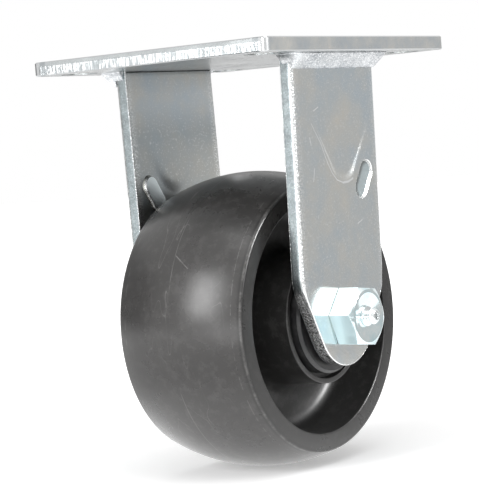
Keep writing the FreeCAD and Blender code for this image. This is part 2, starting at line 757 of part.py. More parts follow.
# Grease fitting: a stem in the bolt, a flange on the dish's floor, a neck and a coupling head
fitting = new_body("grease_fitting", up="-dim.axle_drop")
fitting_section = new_sketch(fitting, "fitting_section", "XY_Plane")
seat = f"-{FITTING_SEAT}"
tip = f"-{FITTING_TIP}"
inner_end = f"{seat} + dim.fitting_stem_length"
mouth_end = f"{tip} + dim.fitting_mouth_depth"
ball_seat_drop = "(dim.fitting_bore_radius - dim.fitting_mouth_radius)"
land = f"({tip} + dim.fitting_head_radius - dim.fitting_neck_radius)"
draw_outline(fitting_section, [
    ("dim.fitting_mouth_radius", tip),
    ("dim.fitting_neck_radius", tip),
    ("dim.fitting_head_radius", land),
    ("dim.fitting_head_radius", f"{land} + dim.fitting_land_length"),
    ("dim.fitting_neck_radius", f"{land} + dim.fitting_land_length + dim.fitting_back_length"),
    ("dim.fitting_flange_radius", f"{seat} - dim.fitting_flange_height"),
    ("dim.fitting_flange_radius", seat),
    ("dim.fitting_stem_radius", seat),
    ("dim.fitting_stem_radius", inner_end),
    ("dim.fitting_mouth_radius", inner_end),
    ("dim.fitting_mouth_radius", f"{inner_end} - dim.fitting_crimp_length"),
    ("dim.fitting_bore_radius", f"{inner_end} - dim.fitting_crimp_length"),
    ("dim.fitting_bore_radius", f"{mouth_end} + {ball_seat_drop}"),
    ("dim.fitting_mouth_radius", mouth_end),
])
turn(fitting, fitting_section, "fitting_turning")

# Check ball behind the fitting's mouth
ball = doc.addObject("Part::Sphere", "grease_ball")
ball.Label = "grease_ball"
ball.setExpression("Radius", "dim.grease_ball_radius")
place(ball, along=f"-{BALL_PLACE}", up="-dim.axle_drop")

# Spring behind the check ball
coil_radius = "dim.fitting_bore_radius - 2 * dim.spring_wire_radius"
helix = doc.addObject("Part::Helix", "spring_helix")
helix.setExpression("Radius", coil_radius)
spring_start = f"(-{BALL_PLACE} + dim.grease_ball_radius + dim.spring_wire_radius)"
spring_stop = f"({inner_end} - dim.fitting_crimp_length - dim.spring_wire_radius - dim.grease_ball_seat_gap)"
spring_length = f"({spring_stop} - {spring_start})"
helix.setExpression("Height", spring_length)
helix.setExpression("Pitch", f"{spring_length} / dim.spring_turns")
wire_end = doc.addObject("Part::RegularPolygon", "spring_wire_end")
wire_end.Polygon = 6
wire_end.setExpression("Circumradius", "dim.spring_wire_radius")
place(wire_end, across=coil_radius, roll="90")
spring = doc.addObject("Part::Sweep", "grease_spring")
spring.Label = "grease_spring"
spring.Sections = [wire_end]
spring.Spine = (helix, [])
spring.Solid = True
spring.Frenet = True
place(
    spring,
    along=spring_start,
    up="-dim.axle_drop",
    roll="-90",
)
doc.recompute()

# Lock nut on the far leg, with a plastic ring in its collar
nut = new_body("axle_nut", up="-dim.axle_drop")
nut_hexagon = new_sketch(nut, "nut_hexagon", "XZ_Plane", offset=f"-{NUT_SEAT}")
draw_outline(nut_hexagon, hexagon_points(NUT_CORNER, "dim.nut_turn"))
nut_flats = "(dim.nut_height - dim.nut_collar_height)"
pad(nut, nut_hexagon, "nut_flats", nut_flats, reverse=True)
collar = new_sketch(nut, "nut_collar_section", "XZ_Plane", offset=f"-({NUT_SEAT} + {nut_flats})")
draw_circle(collar, "0", "0", "dim.nut_collar_radius")
pad(nut, collar, "nut_collar", "dim.nut_collar_height", reverse=True)
nut_top = f"({NUT_SEAT} + {nut_flats})"
cut_corners(nut, "nut_corner", NUT_CORNER, "dim.nut_collar_radius", nut_top, "-dim.nut_chamfer_drop")
nut_bore = new_sketch(nut, "nut_bore_section", "XZ_Plane")
draw_circle(nut_bore, "0", "0", "dim.bolt_diameter / 2 + dim.nut_seat_clearance")
pocket(nut, nut_bore, "nut_bore", midplane=True)
insert_seat = new_sketch(nut, "insert_seat_section", "XZ_Plane", offset=f"-({NUT_SEAT} + dim.nut_height)")
draw_circle(insert_seat, "0", "0", "dim.insert_radius")
insert_depth = "(dim.nut_collar_height + dim.insert_thickness) / 2"
pocket(nut, insert_seat, "insert_seat", insert_depth, reverse=True)

insert = new_body("nut_insert", up="-dim.axle_drop")
insert_section = new_sketch(insert, "insert_section", "XY_Plane")
insert_base = f"{NUT_SEAT} + dim.nut_height - {insert_depth}"
draw_outline(insert_section, [
    ("dim.bolt_diameter / 2 + dim.nut_seat_clearance", insert_base),
    ("dim.insert_radius", insert_base),
    ("dim.insert_radius", f"{insert_base} + dim.insert_thickness"),
    ("dim.bolt_diameter / 2 + dim.nut_seat_clearance", f"{insert_base} + dim.insert_thickness"),
])
turn(insert, insert_section, "insert_ring")

# Every piece is checked before any is written
PIECES = [
    plate, leg_near, leg_far, weld_near, weld_far, wheel, retainer_near, retainer_far, bushing, cage,
    *rollers, bolt, fitting, ball, spring, nut, insert,
]
doc.recompute()
for thing in doc.Objects:
    if "Invalid" in thing.State or "Error" in thing.State:
        raise RuntimeError(f"{thing.Name} failed: {thing.State}")
for piece in PIECES:
    shape = piece.Shape
    if shape.isNull() or not shape.isValid() or not shape.Solids:
        raise RuntimeError(f"{piece.Label} is not a sound solid")

os.makedirs("parts", exist_ok=True)
for piece in PIECES:
    piece.Shape.exportStep(f"parts/{piece.Label}.step")
    box = piece.Shape.BoundBox
    print(
        f"{piece.Label}: {len(piece.Shape.Solids)} solid, {piece.Shape.Volume:.1f} mm3,"
        f" X {box.XMin:.2f} to {box.XMax:.2f}, Y {box.YMin:.2f} to {box.YMax:.2f},"
        f" Z {box.ZMin:.2f} to {box.ZMax:.2f}"
    )
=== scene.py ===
import logging
import math
import random
from dataclasses import dataclass, field
from enum import Enum
from typing import Callable

import bmesh
import bpy
from mathutils import Matrix, Vector, noise


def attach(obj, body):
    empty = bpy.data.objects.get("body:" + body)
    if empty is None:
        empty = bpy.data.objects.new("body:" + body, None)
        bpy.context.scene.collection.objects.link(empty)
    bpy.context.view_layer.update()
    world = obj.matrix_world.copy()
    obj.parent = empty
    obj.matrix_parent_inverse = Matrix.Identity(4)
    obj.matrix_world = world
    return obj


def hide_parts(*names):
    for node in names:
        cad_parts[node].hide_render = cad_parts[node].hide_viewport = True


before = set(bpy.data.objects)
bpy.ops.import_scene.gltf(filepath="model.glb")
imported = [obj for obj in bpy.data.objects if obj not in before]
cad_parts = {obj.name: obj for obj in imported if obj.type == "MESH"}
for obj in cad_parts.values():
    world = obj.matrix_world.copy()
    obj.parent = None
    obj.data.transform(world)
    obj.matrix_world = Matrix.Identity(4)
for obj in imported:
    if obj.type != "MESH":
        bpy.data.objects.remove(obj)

# A fixed castor: top plate, two welded legs, and a moulded wheel on a bolted roller bearing.
# Sizes are in millimetres in the part's own frame, and every mesh is scaled to metres as it is made.

MM = 0.001
SHEET_WIDTH = 36.0
AXLE_HEIGHT = -92.4
WHEEL_OFFSET = 0.55

Colour = tuple[float, float, float]
Point = tuple[float, float, float]
Outline = list[tuple[float, float]]
Socket = bpy.types.NodeSocket
Wires = dict[str, Socket]

log = logging.getLogger("castor")


class Body(Enum):
    """The moving groups of the castor that a piece can ride on."""

    FRAME = "frame"
    WHEEL = "wheel"


class Axis(Enum):
    """The three axes of the part's frame, by their place in a vector."""

    X = 0
    Y = 1
    Z = 2


# Meshes

def grid_mesh(name: str, rows: list[list[Point]], close_rows: bool, close_columns: bool,
              cap_ends: bool = False) -> bpy.types.Object:
    """Makes a smooth-shaded mesh from rows of points in millimetres.

    Args:
        name: The name of the piece.
        rows: Equally long rows of points.
        close_rows: Joins the last row to the first.
        close_columns: Joins the last point of each row to its first.
        cap_ends: Closes the first and the last row with one face each.

    Returns:
        The new object, with its mesh in metres and its origin at the frame's origin.
    """
    across = len(rows[0])
    points = [tuple(value * MM for value in point) for row in rows for point in row]
    faces = []
    for i in range(len(rows) if close_rows else len(rows) - 1):
        upper, lower = i * across, (i + 1) % len(rows) * across
        for j in range(across if close_columns else across - 1):
            k = (j + 1) % across
            faces.append((upper + j, upper + k, lower + k, lower + j))
    if cap_ends:
        last = (len(rows) - 1) * across
        faces.append(tuple(reversed(range(across))))
        faces.append(tuple(last + j for j in range(across)))
    mesh = bpy.data.meshes.new(name)
    mesh.from_pydata(points, [], faces)
    mesh.validate()
    shell = bmesh.new()
    shell.from_mesh(mesh)
    bmesh.ops.recalc_face_normals(shell, faces=shell.faces)
    shell.to_mesh(mesh)
    shell.free()
    mesh.polygons.foreach_set("use_smooth", [True] * len(mesh.polygons))
    piece = bpy.data.objects.new(name, mesh)
    bpy.context.scene.collection.objects.link(piece)
    return piece


def soften(corners: list[tuple[float, float, float]], steps: int = 5) -> Outline:
    """Rounds the corners of an open outline.

    Args:
        corners: The corners as (radius, along, how far the round starts from the corner).
        steps: The points on each round.

    Returns:
        The outline's points, with the first and the last corner kept as they are.
    """
    outline: Outline = [corners[0][:2]]
    for before, corner, after in zip(corners, corners[1:], corners[2:]):
        if corner[2] <= 0:
            outline.append(corner[:2])
            continue
        here = Vector(corner[:2])
        start = here + (Vector(before[:2]) - here).normalized() * corner[2]
        stop = here + (Vector(after[:2]) - here).normalized() * corner[2]
        for step in range(steps + 1):
            t = step / steps
            spot = start * (1 - t) ** 2 + here * (2 * t * (1 - t)) + stop * t ** 2
            outline.append((spot.x, spot.y))
    outline.append(corners[-1][:2])
    return outline


def lathe(name: str, outline: Outline, centre: float, segments: int,
          shape: Callable[[float, float, float], float] | None = None) -> bpy.types.Object:
    """Turns a closed outline about the axle.

    Args:
        name: The name of the piece.
        outline: Points of (radius, along), where along is measured from the centre.
        centre: The place of the outline's centre along the axle.
        segments: The number of steps round the axle.
        shape: Gives the radius for (radius, along, angle), where it isn't the same all round.

    Returns:
        The new object.
    """
    rows = []
    for radius, along in outline:
        row = []
        for step in range(segments):
            angle = 2 * math.pi * step / segments
            reach = shape(radius, along, angle) if shape else radius
            row.append((reach * math.cos(angle), centre + along, AXLE_HEIGHT + reach * math.sin(angle)))
        rows.append(row)
    return grid_mesh(name, rows, close_rows=True, close_columns=True)


def soft_edges(piece: bpy.types.Object, width: float) -> None:
    """Rounds a piece's sharp edges a little, so that they catch the light.

    Args:
        piece: The object.
        width: How wide the round is, in millimetres.
    """
    bevel = piece.modifiers.new("soft_edges", "BEVEL")
    bevel.width = width * MM
    bevel.segments = 3
    bevel.limit_method = "ANGLE"
    bevel.angle_limit = math.radians(28.0)
    bevel.harden_normals = False


def soft_floor(value: float, width: float) -> float:
    """The value where it is above 0, and 0 below, with a round bend of the given width between."""
    return (value + math.sqrt(value * value + width * width)) / 2


def ease(value: float) -> float:
    """A smooth rise from 0 to 1 as the value goes from 0 to 1."""
    t = min(1.0, max(0.0, value))
    return t * t * (3 - 2 * t)


def dress(piece: bpy.types.Object, material: bpy.types.Material) -> None:
    """Gives a piece one material in place of what it had.

    Args:
        piece: The object to dress.
        material: The material that covers it.
    """
    piece.data.materials.clear()
    piece.data.materials.append(material)
    for polygon in piece.data.polygons:
        polygon.material_index = 0


def stand_for(piece: bpy.types.Object, body: Body, slot: str, *nodes: str) -> None:
    """Puts a detailed piece in the place of plain nodes.

    Args:
        piece: The detailed piece.
        body: The body that it rides on.
        slot: The record's material slot for it, which is not used.
        nodes: The names of the nodes that it stands for.
    """
    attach(piece, body.value)
    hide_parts(*nodes)
    log.info("%s: %d faces, rides on %s", piece.name, len(piece.data.polygons), body.value)


# Shader nodes

class Board:
    """Places nodes in one node tree and links them."""

    def __init__(self, tree: bpy.types.NodeTree) -> None:
        """Keeps the tree that the nodes go in."""
        self.tree = tree

    def feed(self, socket: Socket, value: object) -> None:
        """Links a socket to an output, or sets its plain value.

        Args:
            socket: The input to feed.
            value: An output socket, a number, or a colour or vector of three numbers.
        """
        if isinstance(value, bpy.types.NodeSocket):
            self.tree.links.new(value, socket)
        elif isinstance(value, tuple) and socket.type == "RGBA":
            socket.default_value = (*value, 1.0)
        else:
            socket.default_value = value

    def add(self, kind: str, inputs: dict | None = None, **settings: object) -> bpy.types.Node:
        """Adds a node.

        Args:
            kind: The node's type name.
            inputs: What goes into its input sockets, by name or number.
            settings: The node's own settings.

        Returns:
            The new node.
        """
        node = self.tree.nodes.new(kind)
        for name, value in settings.items():
            setattr(node, name, value)
        for name, value in (inputs or {}).items():
            self.feed(node.inputs[name], value)
        return node

    def math(self, operation: str, *terms: object) -> Socket:
        """The result of one sum on numbers or outputs."""
        return self.add("ShaderNodeMath", dict(enumerate(terms)), operation=operation).outputs[0]

    def times(self, *terms: object) -> Socket:
        """The product of numbers or outputs."""
        result = terms[0]
        for term in terms[1:]:
            result = self.math("MULTIPLY", result, term)
        return result

    def most(self, *terms: object) -> Socket:
        """The largest of numbers or outputs."""
        result = terms[0]
        for term in terms[1:]:
            result = self.math("MAXIMUM", result, term)
        return result

    def rest(self, share: object) -> Socket:
        """What a share leaves of 1."""
        return self.math("SUBTRACT", 1.0, share)

    def span(self, value: object, low: object, high: object, start: float = 0.0,
             stop: float = 1.0) -> Socket:
        """Turns a value's rise from low to high into a smooth rise from start to stop."""
        inputs = {"Value": value, "From Min": low, "From Max": high, "To Min": start, "To Max": stop}
        return self.add("ShaderNodeMapRange", inputs, interpolation_type="SMOOTHSTEP").outputs["Result"]

    def span_mm(self, value: object, low: float, high: float, start: float = 0.0,
                stop: float = 1.0) -> Socket:
        """The same as span, with low and high in millimetres."""
        return self.span(value, low * MM, high * MM, start, stop)

    def mix(self, share: object, first: object, second: object) -> Socket:
        """Mixes two numbers by a share from 0 to 1."""
        return self.add("ShaderNodeMix", {0: share, 2: first, 3: second}).outputs[0]

    def blend(self, share: object, first: object, second: object) -> Socket:
        """Mixes two colours by a share from 0 to 1."""
        return self.add("ShaderNodeMix", {0: share, 6: first, 7: second}, data_type="RGBA").outputs[2]

    def part(self, vector: Socket, axis: Axis) -> Socket:
        """One of a vector's three numbers."""
        return self.add("ShaderNodeSeparateXYZ", {0: vector}).outputs[axis.value]

    def stretch(self, vector: Socket, scale: Point) -> Socket:
        """A vector with each of its numbers scaled."""
        return self.vector("MULTIPLY", vector, scale)

    def vector(self, operation: str, *terms: object) -> Socket:
        """The vector that one sum on vectors gives."""
        return self.add("ShaderNodeVectorMath", dict(enumerate(terms)), operation=operation).outputs["Vector"]

    def measure(self, operation: str, *terms: object) -> Socket:
        """The number that one sum on vectors gives."""
        return self.add("ShaderNodeVectorMath", dict(enumerate(terms)), operation=operation).outputs["Value"]

    def speckle(self, vector: object, scale: object, detail: float, roughness: float = 0.5) -> Socket:
        """Plain noise from 0 to 1."""
        inputs = {"Vector": vector, "Scale": scale, "Detail": detail, "Roughness": roughness}
        return self.add("ShaderNodeTexNoise", inputs).outputs[0]


class Effect:
    """A node group that several finishes share, made once and placed with its own values.

    Each inlet is a number with its usual value, or a vector where that value is None.
    """

    name: str = ""
    inlets: dict[str, float | None] = {}
    outlets: tuple[str, ...] = ()
    made: dict[str, bpy.types.NodeTree] = {}

    def wire(self, board: Board, given: Wires) -> Wires:
        """Builds the group's inside from its inlets and gives what feeds each outlet."""
        raise NotImplementedError

    def tree(self) -> bpy.types.NodeTree:
        """The group's node tree, built the first time that it is asked for.

        Returns:
            The node tree.
        """
        if self.name in Effect.made:
            return Effect.made[self.name]
        tree = bpy.data.node_groups.new(self.name, "ShaderNodeTree")
        for name, default in self.inlets.items():
            kind = "NodeSocketVector" if default is None else "NodeSocketFloat"
            socket = tree.interface.new_socket(name, in_out="INPUT", socket_type=kind)
            if default is not None:
                socket.default_value = default
        for name in self.outlets:
            tree.interface.new_socket(name, in_out="OUTPUT", socket_type="NodeSocketFloat")
        board = Board(tree)
        inlet = board.add("NodeGroupInput")
        results = self.wire(board, {name: inlet.outputs[name] for name in self.inlets})
        outlet = board.add("NodeGroupOutput")
        for name, result in results.items():
            board.feed(outlet.inputs[name], result)
        Effect.made[self.name] = tree
        return tree

    def put(self, board: Board, inputs: dict[str, object]) -> bpy.types.Node:
        """Places the group in a material.

        Args:
            board: The material's board.
            inputs: The values for the group's inlets.

        Returns:
            The group's node.
        """
        return board.add("ShaderNodeGroup", inputs, node_tree=self.tree())


class Mottle(Effect):
    """Slow, cloudy changes of tone, as on plating and moulded plastic."""

    name = "uneven_tone"
    inlets = {"Vector": None, "Scale": 60.0, "Spread": 0.3}
    outlets = ("Tone",)
    quicker: float = 4.3
    quick_share: float = 0.6

    def wire(self, board: Board, given: Wires) -> Wires:
        """Mixes a slow and a quick noise about the middle tone."""
        vector, scale = given["Vector"], given["Scale"]
        slow = board.math("SUBTRACT", board.speckle(vector, scale, 3.0), 0.5)
        quick = board.math("SUBTRACT", board.speckle(vector, board.times(scale, self.quicker), 4.0, 0.6), 0.5)
        both = board.math("MULTIPLY_ADD", quick, self.quick_share, slow)
        return {"Tone": board.math("MULTIPLY_ADD", both, given["Spread"], 0.5)}


class Grit(Effect):
    """Fine raised grain, with sparkling points where it is sharp."""

    name = "fine_grit"
    inlets = {"Vector": None, "Scale": 1500.0, "Sparkle": 0.6}
    outlets = ("Height", "Points")
    peak: float = 0.06

    def wire(self, board: Board, given: Wires) -> Wires:
        """Takes the height from noise and the points from its peaks."""
        height = board.speckle(given["Vector"], given["Scale"], 3.0, 0.65)
        above = board.math("SUBTRACT", height, given["Sparkle"])
        return {"Height": height, "Points": board.span(above, 0.0, self.peak)}


class Hairlines(Effect):
    """Thin, broken marks that follow the long side of a stretched vector."""

    name = "hairline_marks"
    inlets = {"Vector": None, "Scale": 40.0, "Thinness": 0.01, "Gaps": 0.55}
    outlets = ("Mask",)
    break_scale: float = 23.0
    fade: float = 0.05

    def wire(self, board: Board, given: Wires) -> Wires:
        """Keeps the thin contour where noise crosses its middle, and breaks it by a second noise."""
        vector = given["Vector"]
        middle = board.speckle(vector, given["Scale"], 1.0)
        off = board.math("ABSOLUTE", board.math("SUBTRACT", middle, 0.5))
        off = board.math("MINIMUM", board.math("DIVIDE", off, given["Thinness"]), 1.0)
        breaks = board.math("SUBTRACT", board.speckle(vector, self.break_scale, 2.0), given["Gaps"])
        shown = board.add("ShaderNodeMapRange", {"Value": breaks, "From Max": self.fade}).outputs["Result"]
        return {"Mask": board.times(board.rest(off), shown)}


class TurnedLines(Effect):
    """Fine rings left along an axis by a tool or a mould."""

    name = "turned_lines"
    inlets = {"Along": 0.0, "Scale": 2500.0}
    outlets = ("Height",)

    def wire(self, board: Board, given: Wires) -> Wires:
        """Reads one-dimensional noise along the axis."""
        lines = board.add("ShaderNodeTexNoise", {"W": given["Along"], "Scale": given["Scale"],
                                                 "Detail": 3.0, "Roughness": 0.7}, noise_dimensions="1D")
        return {"Height": lines.outputs[0]}


class StraightMark(Effect):
    """A short straight mark with soft sides, such as a scratch or the border of a slug."""

    name = "straight_mark"
    inlets = {"Vector": None, "First": None, "Line": None, "Share": None, "Width": 0.001, "Core": 0.0005}
    outlets = ("Mask",)

    def wire(self, board: Board, given: Wires) -> Wires:
        """Measures how far a point is from the nearest point of the mark's middle line."""
        away = board.vector("SUBTRACT", given["Vector"], given["First"])
        along = board.measure("DOT_PRODUCT", away, given["Share"])
        along = board.math("MINIMUM", board.most(along, 0.0), 1.0)
        nearest = board.add("ShaderNodeVectorMath", {0: given["Line"], "Scale": along},
                            operation="SCALE").outputs["Vector"]
        gap = board.measure("DISTANCE", away, nearest)
        return {"Mask": board.span(gap, given["Core"], given["Width"], 1.0, 0.0)}


class Between(Effect):
    """The part of a value's range that lies between two soft limits, such as a worn corner."""

    name = "between_limits"
    inlets = {"Value": 0.0, "Start": 0.1, "Full": 0.4, "Until": 0.8, "Gone": 0.9}
    outlets = ("Mask",)

    def wire(self, board: Board, given: Wires) -> Wires:
        """Rises from the first limit and falls towards the last."""
        value = given["Value"]
        rise = board.span(value, given["Start"], given["Full"])
        fall = board.span(value, given["Until"], given["Gone"], 1.0, 0.0)
        return {"Mask": board.times(rise, fall)}


class AxleRadius(Effect):
    """The distance from the axle, in metres."""

    name = "axle_radius"
    inlets = {"Vector": None}
    outlets = ("Radius",)

    def wire(self, board: Board, given: Wires) -> Wires:
        """Measures from the axle in the plane across it."""
        shifted = board.vector("ADD", given["Vector"], (0.0, 0.0, -AXLE_HEIGHT * MM))
        return {"Radius": board.measure("LENGTH", board.stretch(shifted, (1.0, 0.0, 1.0)))}


class Finish:
    """A material under way: its board, its surface shader and the piece's own coordinates."""

    def __init__(self, name: str) -> None:
        """Starts a material with an empty board and one surface shader."""
        self.material = bpy.data.materials.new(name)
        self.material.use_nodes = True
        self.material.node_tree.nodes.clear()
        self.board = Board(self.material.node_tree)
        self.surface = self.board.add("ShaderNodeBsdfPrincipled")
        output = self.board.add("ShaderNodeOutputMaterial")
        self.board.feed(output.inputs["Surface"], self.surface.outputs[0])
        coordinates = self.board.add("ShaderNodeTexCoord")
        self.place = coordinates.outputs["Object"]
        self.facing = coordinates.outputs["Normal"]

    def set(self, **values: object) -> None:
        """Sets or links the surface shader's sockets, with _ for a space in their names."""
        for name, value in values.items():
            self.board.feed(self.surface.inputs[name.replace("_", " ")], value)

    def bump(self, height: Socket, distance: float, strength: float = 1.0,
             below: Socket | None = None) -> Socket:
        """Turns a height from 0 to 1 into a normal.

        Args:
            height: The height.
            distance: The real depth for a height of 1, in millimetres.
            strength: How much of it shows.
            below: A normal that this one adds to.

        Returns:
            The normal.
        """
        inputs = {"Height": height, "Distance": distance * MM, "Strength": strength}
        if below is not None:
            inputs["Normal"] = below
        return self.board.add("ShaderNodeBump", inputs).outputs[0]

    def faces(self, axis: Axis) -> Socket:
        """How squarely the surface looks along an axis, from 0 to 1."""
        return self.board.math("ABSOLUTE", self.board.part(self.facing, axis))

    def stroke(self, start: Point, stop: Point, width: float, core: float = 0.4) -> Socket:
        """A mask that is 1 along a short straight mark.

        Args:
            start: One end of the mark, in millimetres in the part's frame.
            stop: Its other end.
            width: Half its width, in millimetres.
            core: The share of that half width over which the mask is full.

        Returns:
            The mask.
        """
        first = Vector(start) * MM
        line = Vector(stop) * MM - first
        inputs = {"Vector": self.place, "First": tuple(first), "Line": tuple(line),
                  "Share": tuple(line / line.length_squared), "Width": width * MM, "Core": core * width * MM}
        return StraightMark().put(self.board, inputs).outputs["Mask"]

    def between(self, value: Socket, start: float, full: float, until: float, gone: float) -> Socket:
        """A mask that rises as the value goes from start to full, and falls from until to gone."""
        inputs = {"Value": value, "Start": start, "Full": full, "Until": until, "Gone": gone}
        return Between().put(self.board, inputs).outputs["Mask"]

    def axle_radius(self) -> Socket:
        """The distance from the axle, in metres."""
        return AxleRadius().put(self.board, {"Vector": self.place}).outputs["Radius"]

    def tone(self, scale: float, spread: float) -> Socket:
        """The slow, cloudy changes of tone at one scale."""
        inputs = {"Vector": self.place, "Scale": scale, "Spread": spread}
        return Mottle().put(self.board, inputs).outputs["Tone"]

    def grit(self, scale: float, sparkle: float, stretch: Point = (1.0, 1.0, 1.0)) -> bpy.types.Node:
        """The fine raised grain at one scale."""
        vector = self.board.stretch(self.place, stretch)
        return Grit().put(self.board, {"Vector": vector, "Scale": scale, "Sparkle": sparkle})

    def hairs(self, scale: float, gaps: float, stretch: Point) -> Socket:
        """The thin, broken marks at one scale."""
        inputs = {"Vector": self.board.stretch(self.place, stretch), "Scale": scale, "Thinness": 0.004,
                  "Gaps": gaps}
        return Hairlines().put(self.board, inputs).outputs["Mask"]

    def rings(self, along: Socket, scale: float) -> Socket:
        """The fine rings that follow one another along a distance."""
        return TurnedLines().put(self.board, {"Along": along, "Scale": scale}).outputs["Height"]


@dataclass(frozen=True)
class RolledZinc:
    """Zinc plating over a stamped leg: frosted faces, sparkling rolled corners and blasted edges."""

    name: str
    slug: tuple[Point, Point]
    # Marks in the mark colour: loose scratches, and on the near leg a painted highlight along the dent's
    # border that is partly a real scratch.
    marks: tuple[tuple[Point, Point, float], ...] = ()
    warm: Colour = (0.695, 0.675, 0.625)
    cool: Colour = (0.565, 0.625, 0.665)
    mark: Colour = (0.92, 0.93, 0.93)
    # The slug face's pale colour where it is lit; with slug_shade it gives the slug painted light and painted
    # shade.
    slug_fresh_lit: Colour = (0.56, 0.63, 0.65)
    # The dark colour of the sheared edges, which is also the colour of the painted shade on the far leg's
    # inner face.
    edge_and_shade_dark: Colour = (0.22, 0.25, 0.26)
    edge_light: Colour = (0.32, 0.365, 0.375)
    corner_dark: Colour = (0.42, 0.43, 0.43)
    blasted: Colour = (0.23, 0.235, 0.235)
    # How much painted shade darkens the lower inner face of the far leg, standing in for the dark reflection
    # of the near leg and the wheel.
    painted_shade: float = 0.0
    slug_radius: float = 3.6
    # Painted light on the walls round the slug: a bright painted highlight on the near leg, a dark painted
    # shade on the far leg.
    slug_wall_painted_light: Colour = (0.78, 0.79, 0.79)
    slug_shade: Colour = (0.26, 0.28, 0.28)
    slug_lit: float = 0.0
    border: float = 24.3
    gloss: float = 0.16
    torn_gloss: float = 0.27
    eye_zone: tuple[float, float] = (-84.0, -80.0)
    painted_shade_zone: tuple[float, float] = (-28.0, -13.0)
    grain_share: float = 0.38
    hair_share: float = 0.30
    shot_share: float = 0.75

    def build(self) -> bpy.types.Material:
        """Makes the material.

        Returns:
            The finished material.
        """
        finish = Finish(self.name)
        board = finish.board
        tint, mottle = finish.tone(30.0, 2.4), finish.tone(240.0, 1.2)
        grit, chips = finish.grit(1500.0, 0.58), finish.grit(2200.0, 0.52)
        shots = finish.grit(1500.0, 0.50).outputs["Points"]
        flat = finish.faces(Axis.Y)
        height = board.part(finish.place, Axis.Z)
        inset = board.math("ABSOLUTE", board.part(finish.place, Axis.X))
        edge = board.span(flat, 0.12, 0.45, 1.0, 0.0)
        corner = finish.between(flat, 0.10, 0.40, 0.86, 0.985)
        slug = finish.stroke(*self.slug, self.slug_radius * 1.02, 0.94)
        # The walls round the slug, which take the painted light colour: bright on the near leg, dark on the
        # far leg.
        wall_painted_light = board.times(finish.stroke(*self.slug, self.slug_radius * 1.30, 0.94), board.rest(slug),
                           board.span(flat, 0.75, 0.95, 1.0, 0.0))
        shot = board.times(board.span_mm(inset, self.border - 4.2, self.border - 1.2),
                           board.span(chips.outputs["Height"], 0.50, 0.56))
        low = board.span_mm(height, *self.eye_zone, 1.0, 0.0)
        marked = board.times(finish.hairs(90.0, 0.60, (1.0, 1.0, 0.25)), self.hair_share)
        # These marks include the painted highlight along the near leg's dent border.
        for start, stop, width in self.marks:
            marked = board.most(marked, finish.stroke(start, stop, width))
        face = board.blend(tint, self.cool, self.warm)
        # Painted shade: below a height the face is darkened towards the dark edge colour, for the dark
        # reflection of the near leg and the wheel.
        if self.painted_shade > 0:
            painted_shade_mask = board.span_mm(height, *self.painted_shade_zone, 1.0, 0.0)
            face = board.blend(board.times(painted_shade_mask, self.painted_shade), face, self.edge_and_shade_dark)
        for share in (board.times(grit.outputs["Points"], self.grain_share), marked,
                      board.times(shot, self.shot_share)):
            face = board.blend(share, face, self.mark)
        # Painted light and shade on the slug's face: the part towards +X and down takes the pale lit colour,
        # the rest the dark slug_shade; a slug_lit of 1 gives the whole face the pale colour, which on the far
        # leg is a painted reflection.
        ends = [(end[0] + 1.5, end[1], end[2] - 0.4) for end in self.slug]
        slug_painted_light = board.most(finish.stroke(*ends, self.slug_radius * 1.02, 0.55), self.slug_lit)
        face = board.blend(slug, face, board.blend(slug_painted_light, self.slug_shade, self.slug_fresh_lit))
        specks = board.times(board.most(chips.outputs["Points"], board.times(shots, low)),
                             board.math("MULTIPLY_ADD", low, 0.80, 0.15))
        rough_edge = board.blend(board.span(mottle, 0.15, 0.85), self.edge_and_shade_dark, self.edge_light)
        rough_edge = board.blend(specks, board.blend(low, rough_edge, self.blasted), self.mark)
        rolled = board.blend(board.most(chips.outputs["Points"], low), self.corner_dark, self.mark)
        colour = board.blend(corner, board.blend(edge, face, rough_edge), rolled)
        finish.set(Base_Color=board.blend(wall_painted_light, colour, self.slug_wall_painted_light), Metallic=1.0)
        shine = board.math("MULTIPLY_ADD", mottle, 0.06, self.gloss - 0.03)
        shine = board.math("MULTIPLY_ADD", slug, 0.10, shine)
        torn = board.most(corner, edge)
        finish.set(Roughness=board.mix(torn, shine, self.torn_gloss))
        fine = finish.bump(grit.outputs["Height"], 0.012, 0.8)
        depth = board.most(corner, board.math("MULTIPLY_ADD", low, 1.6, 0.15))
        torn_height = board.times(chips.outputs["Height"], depth, torn)
        finish.set(Normal=finish.bump(torn_height, 0.10, 1.0, fine))
        return finish.material


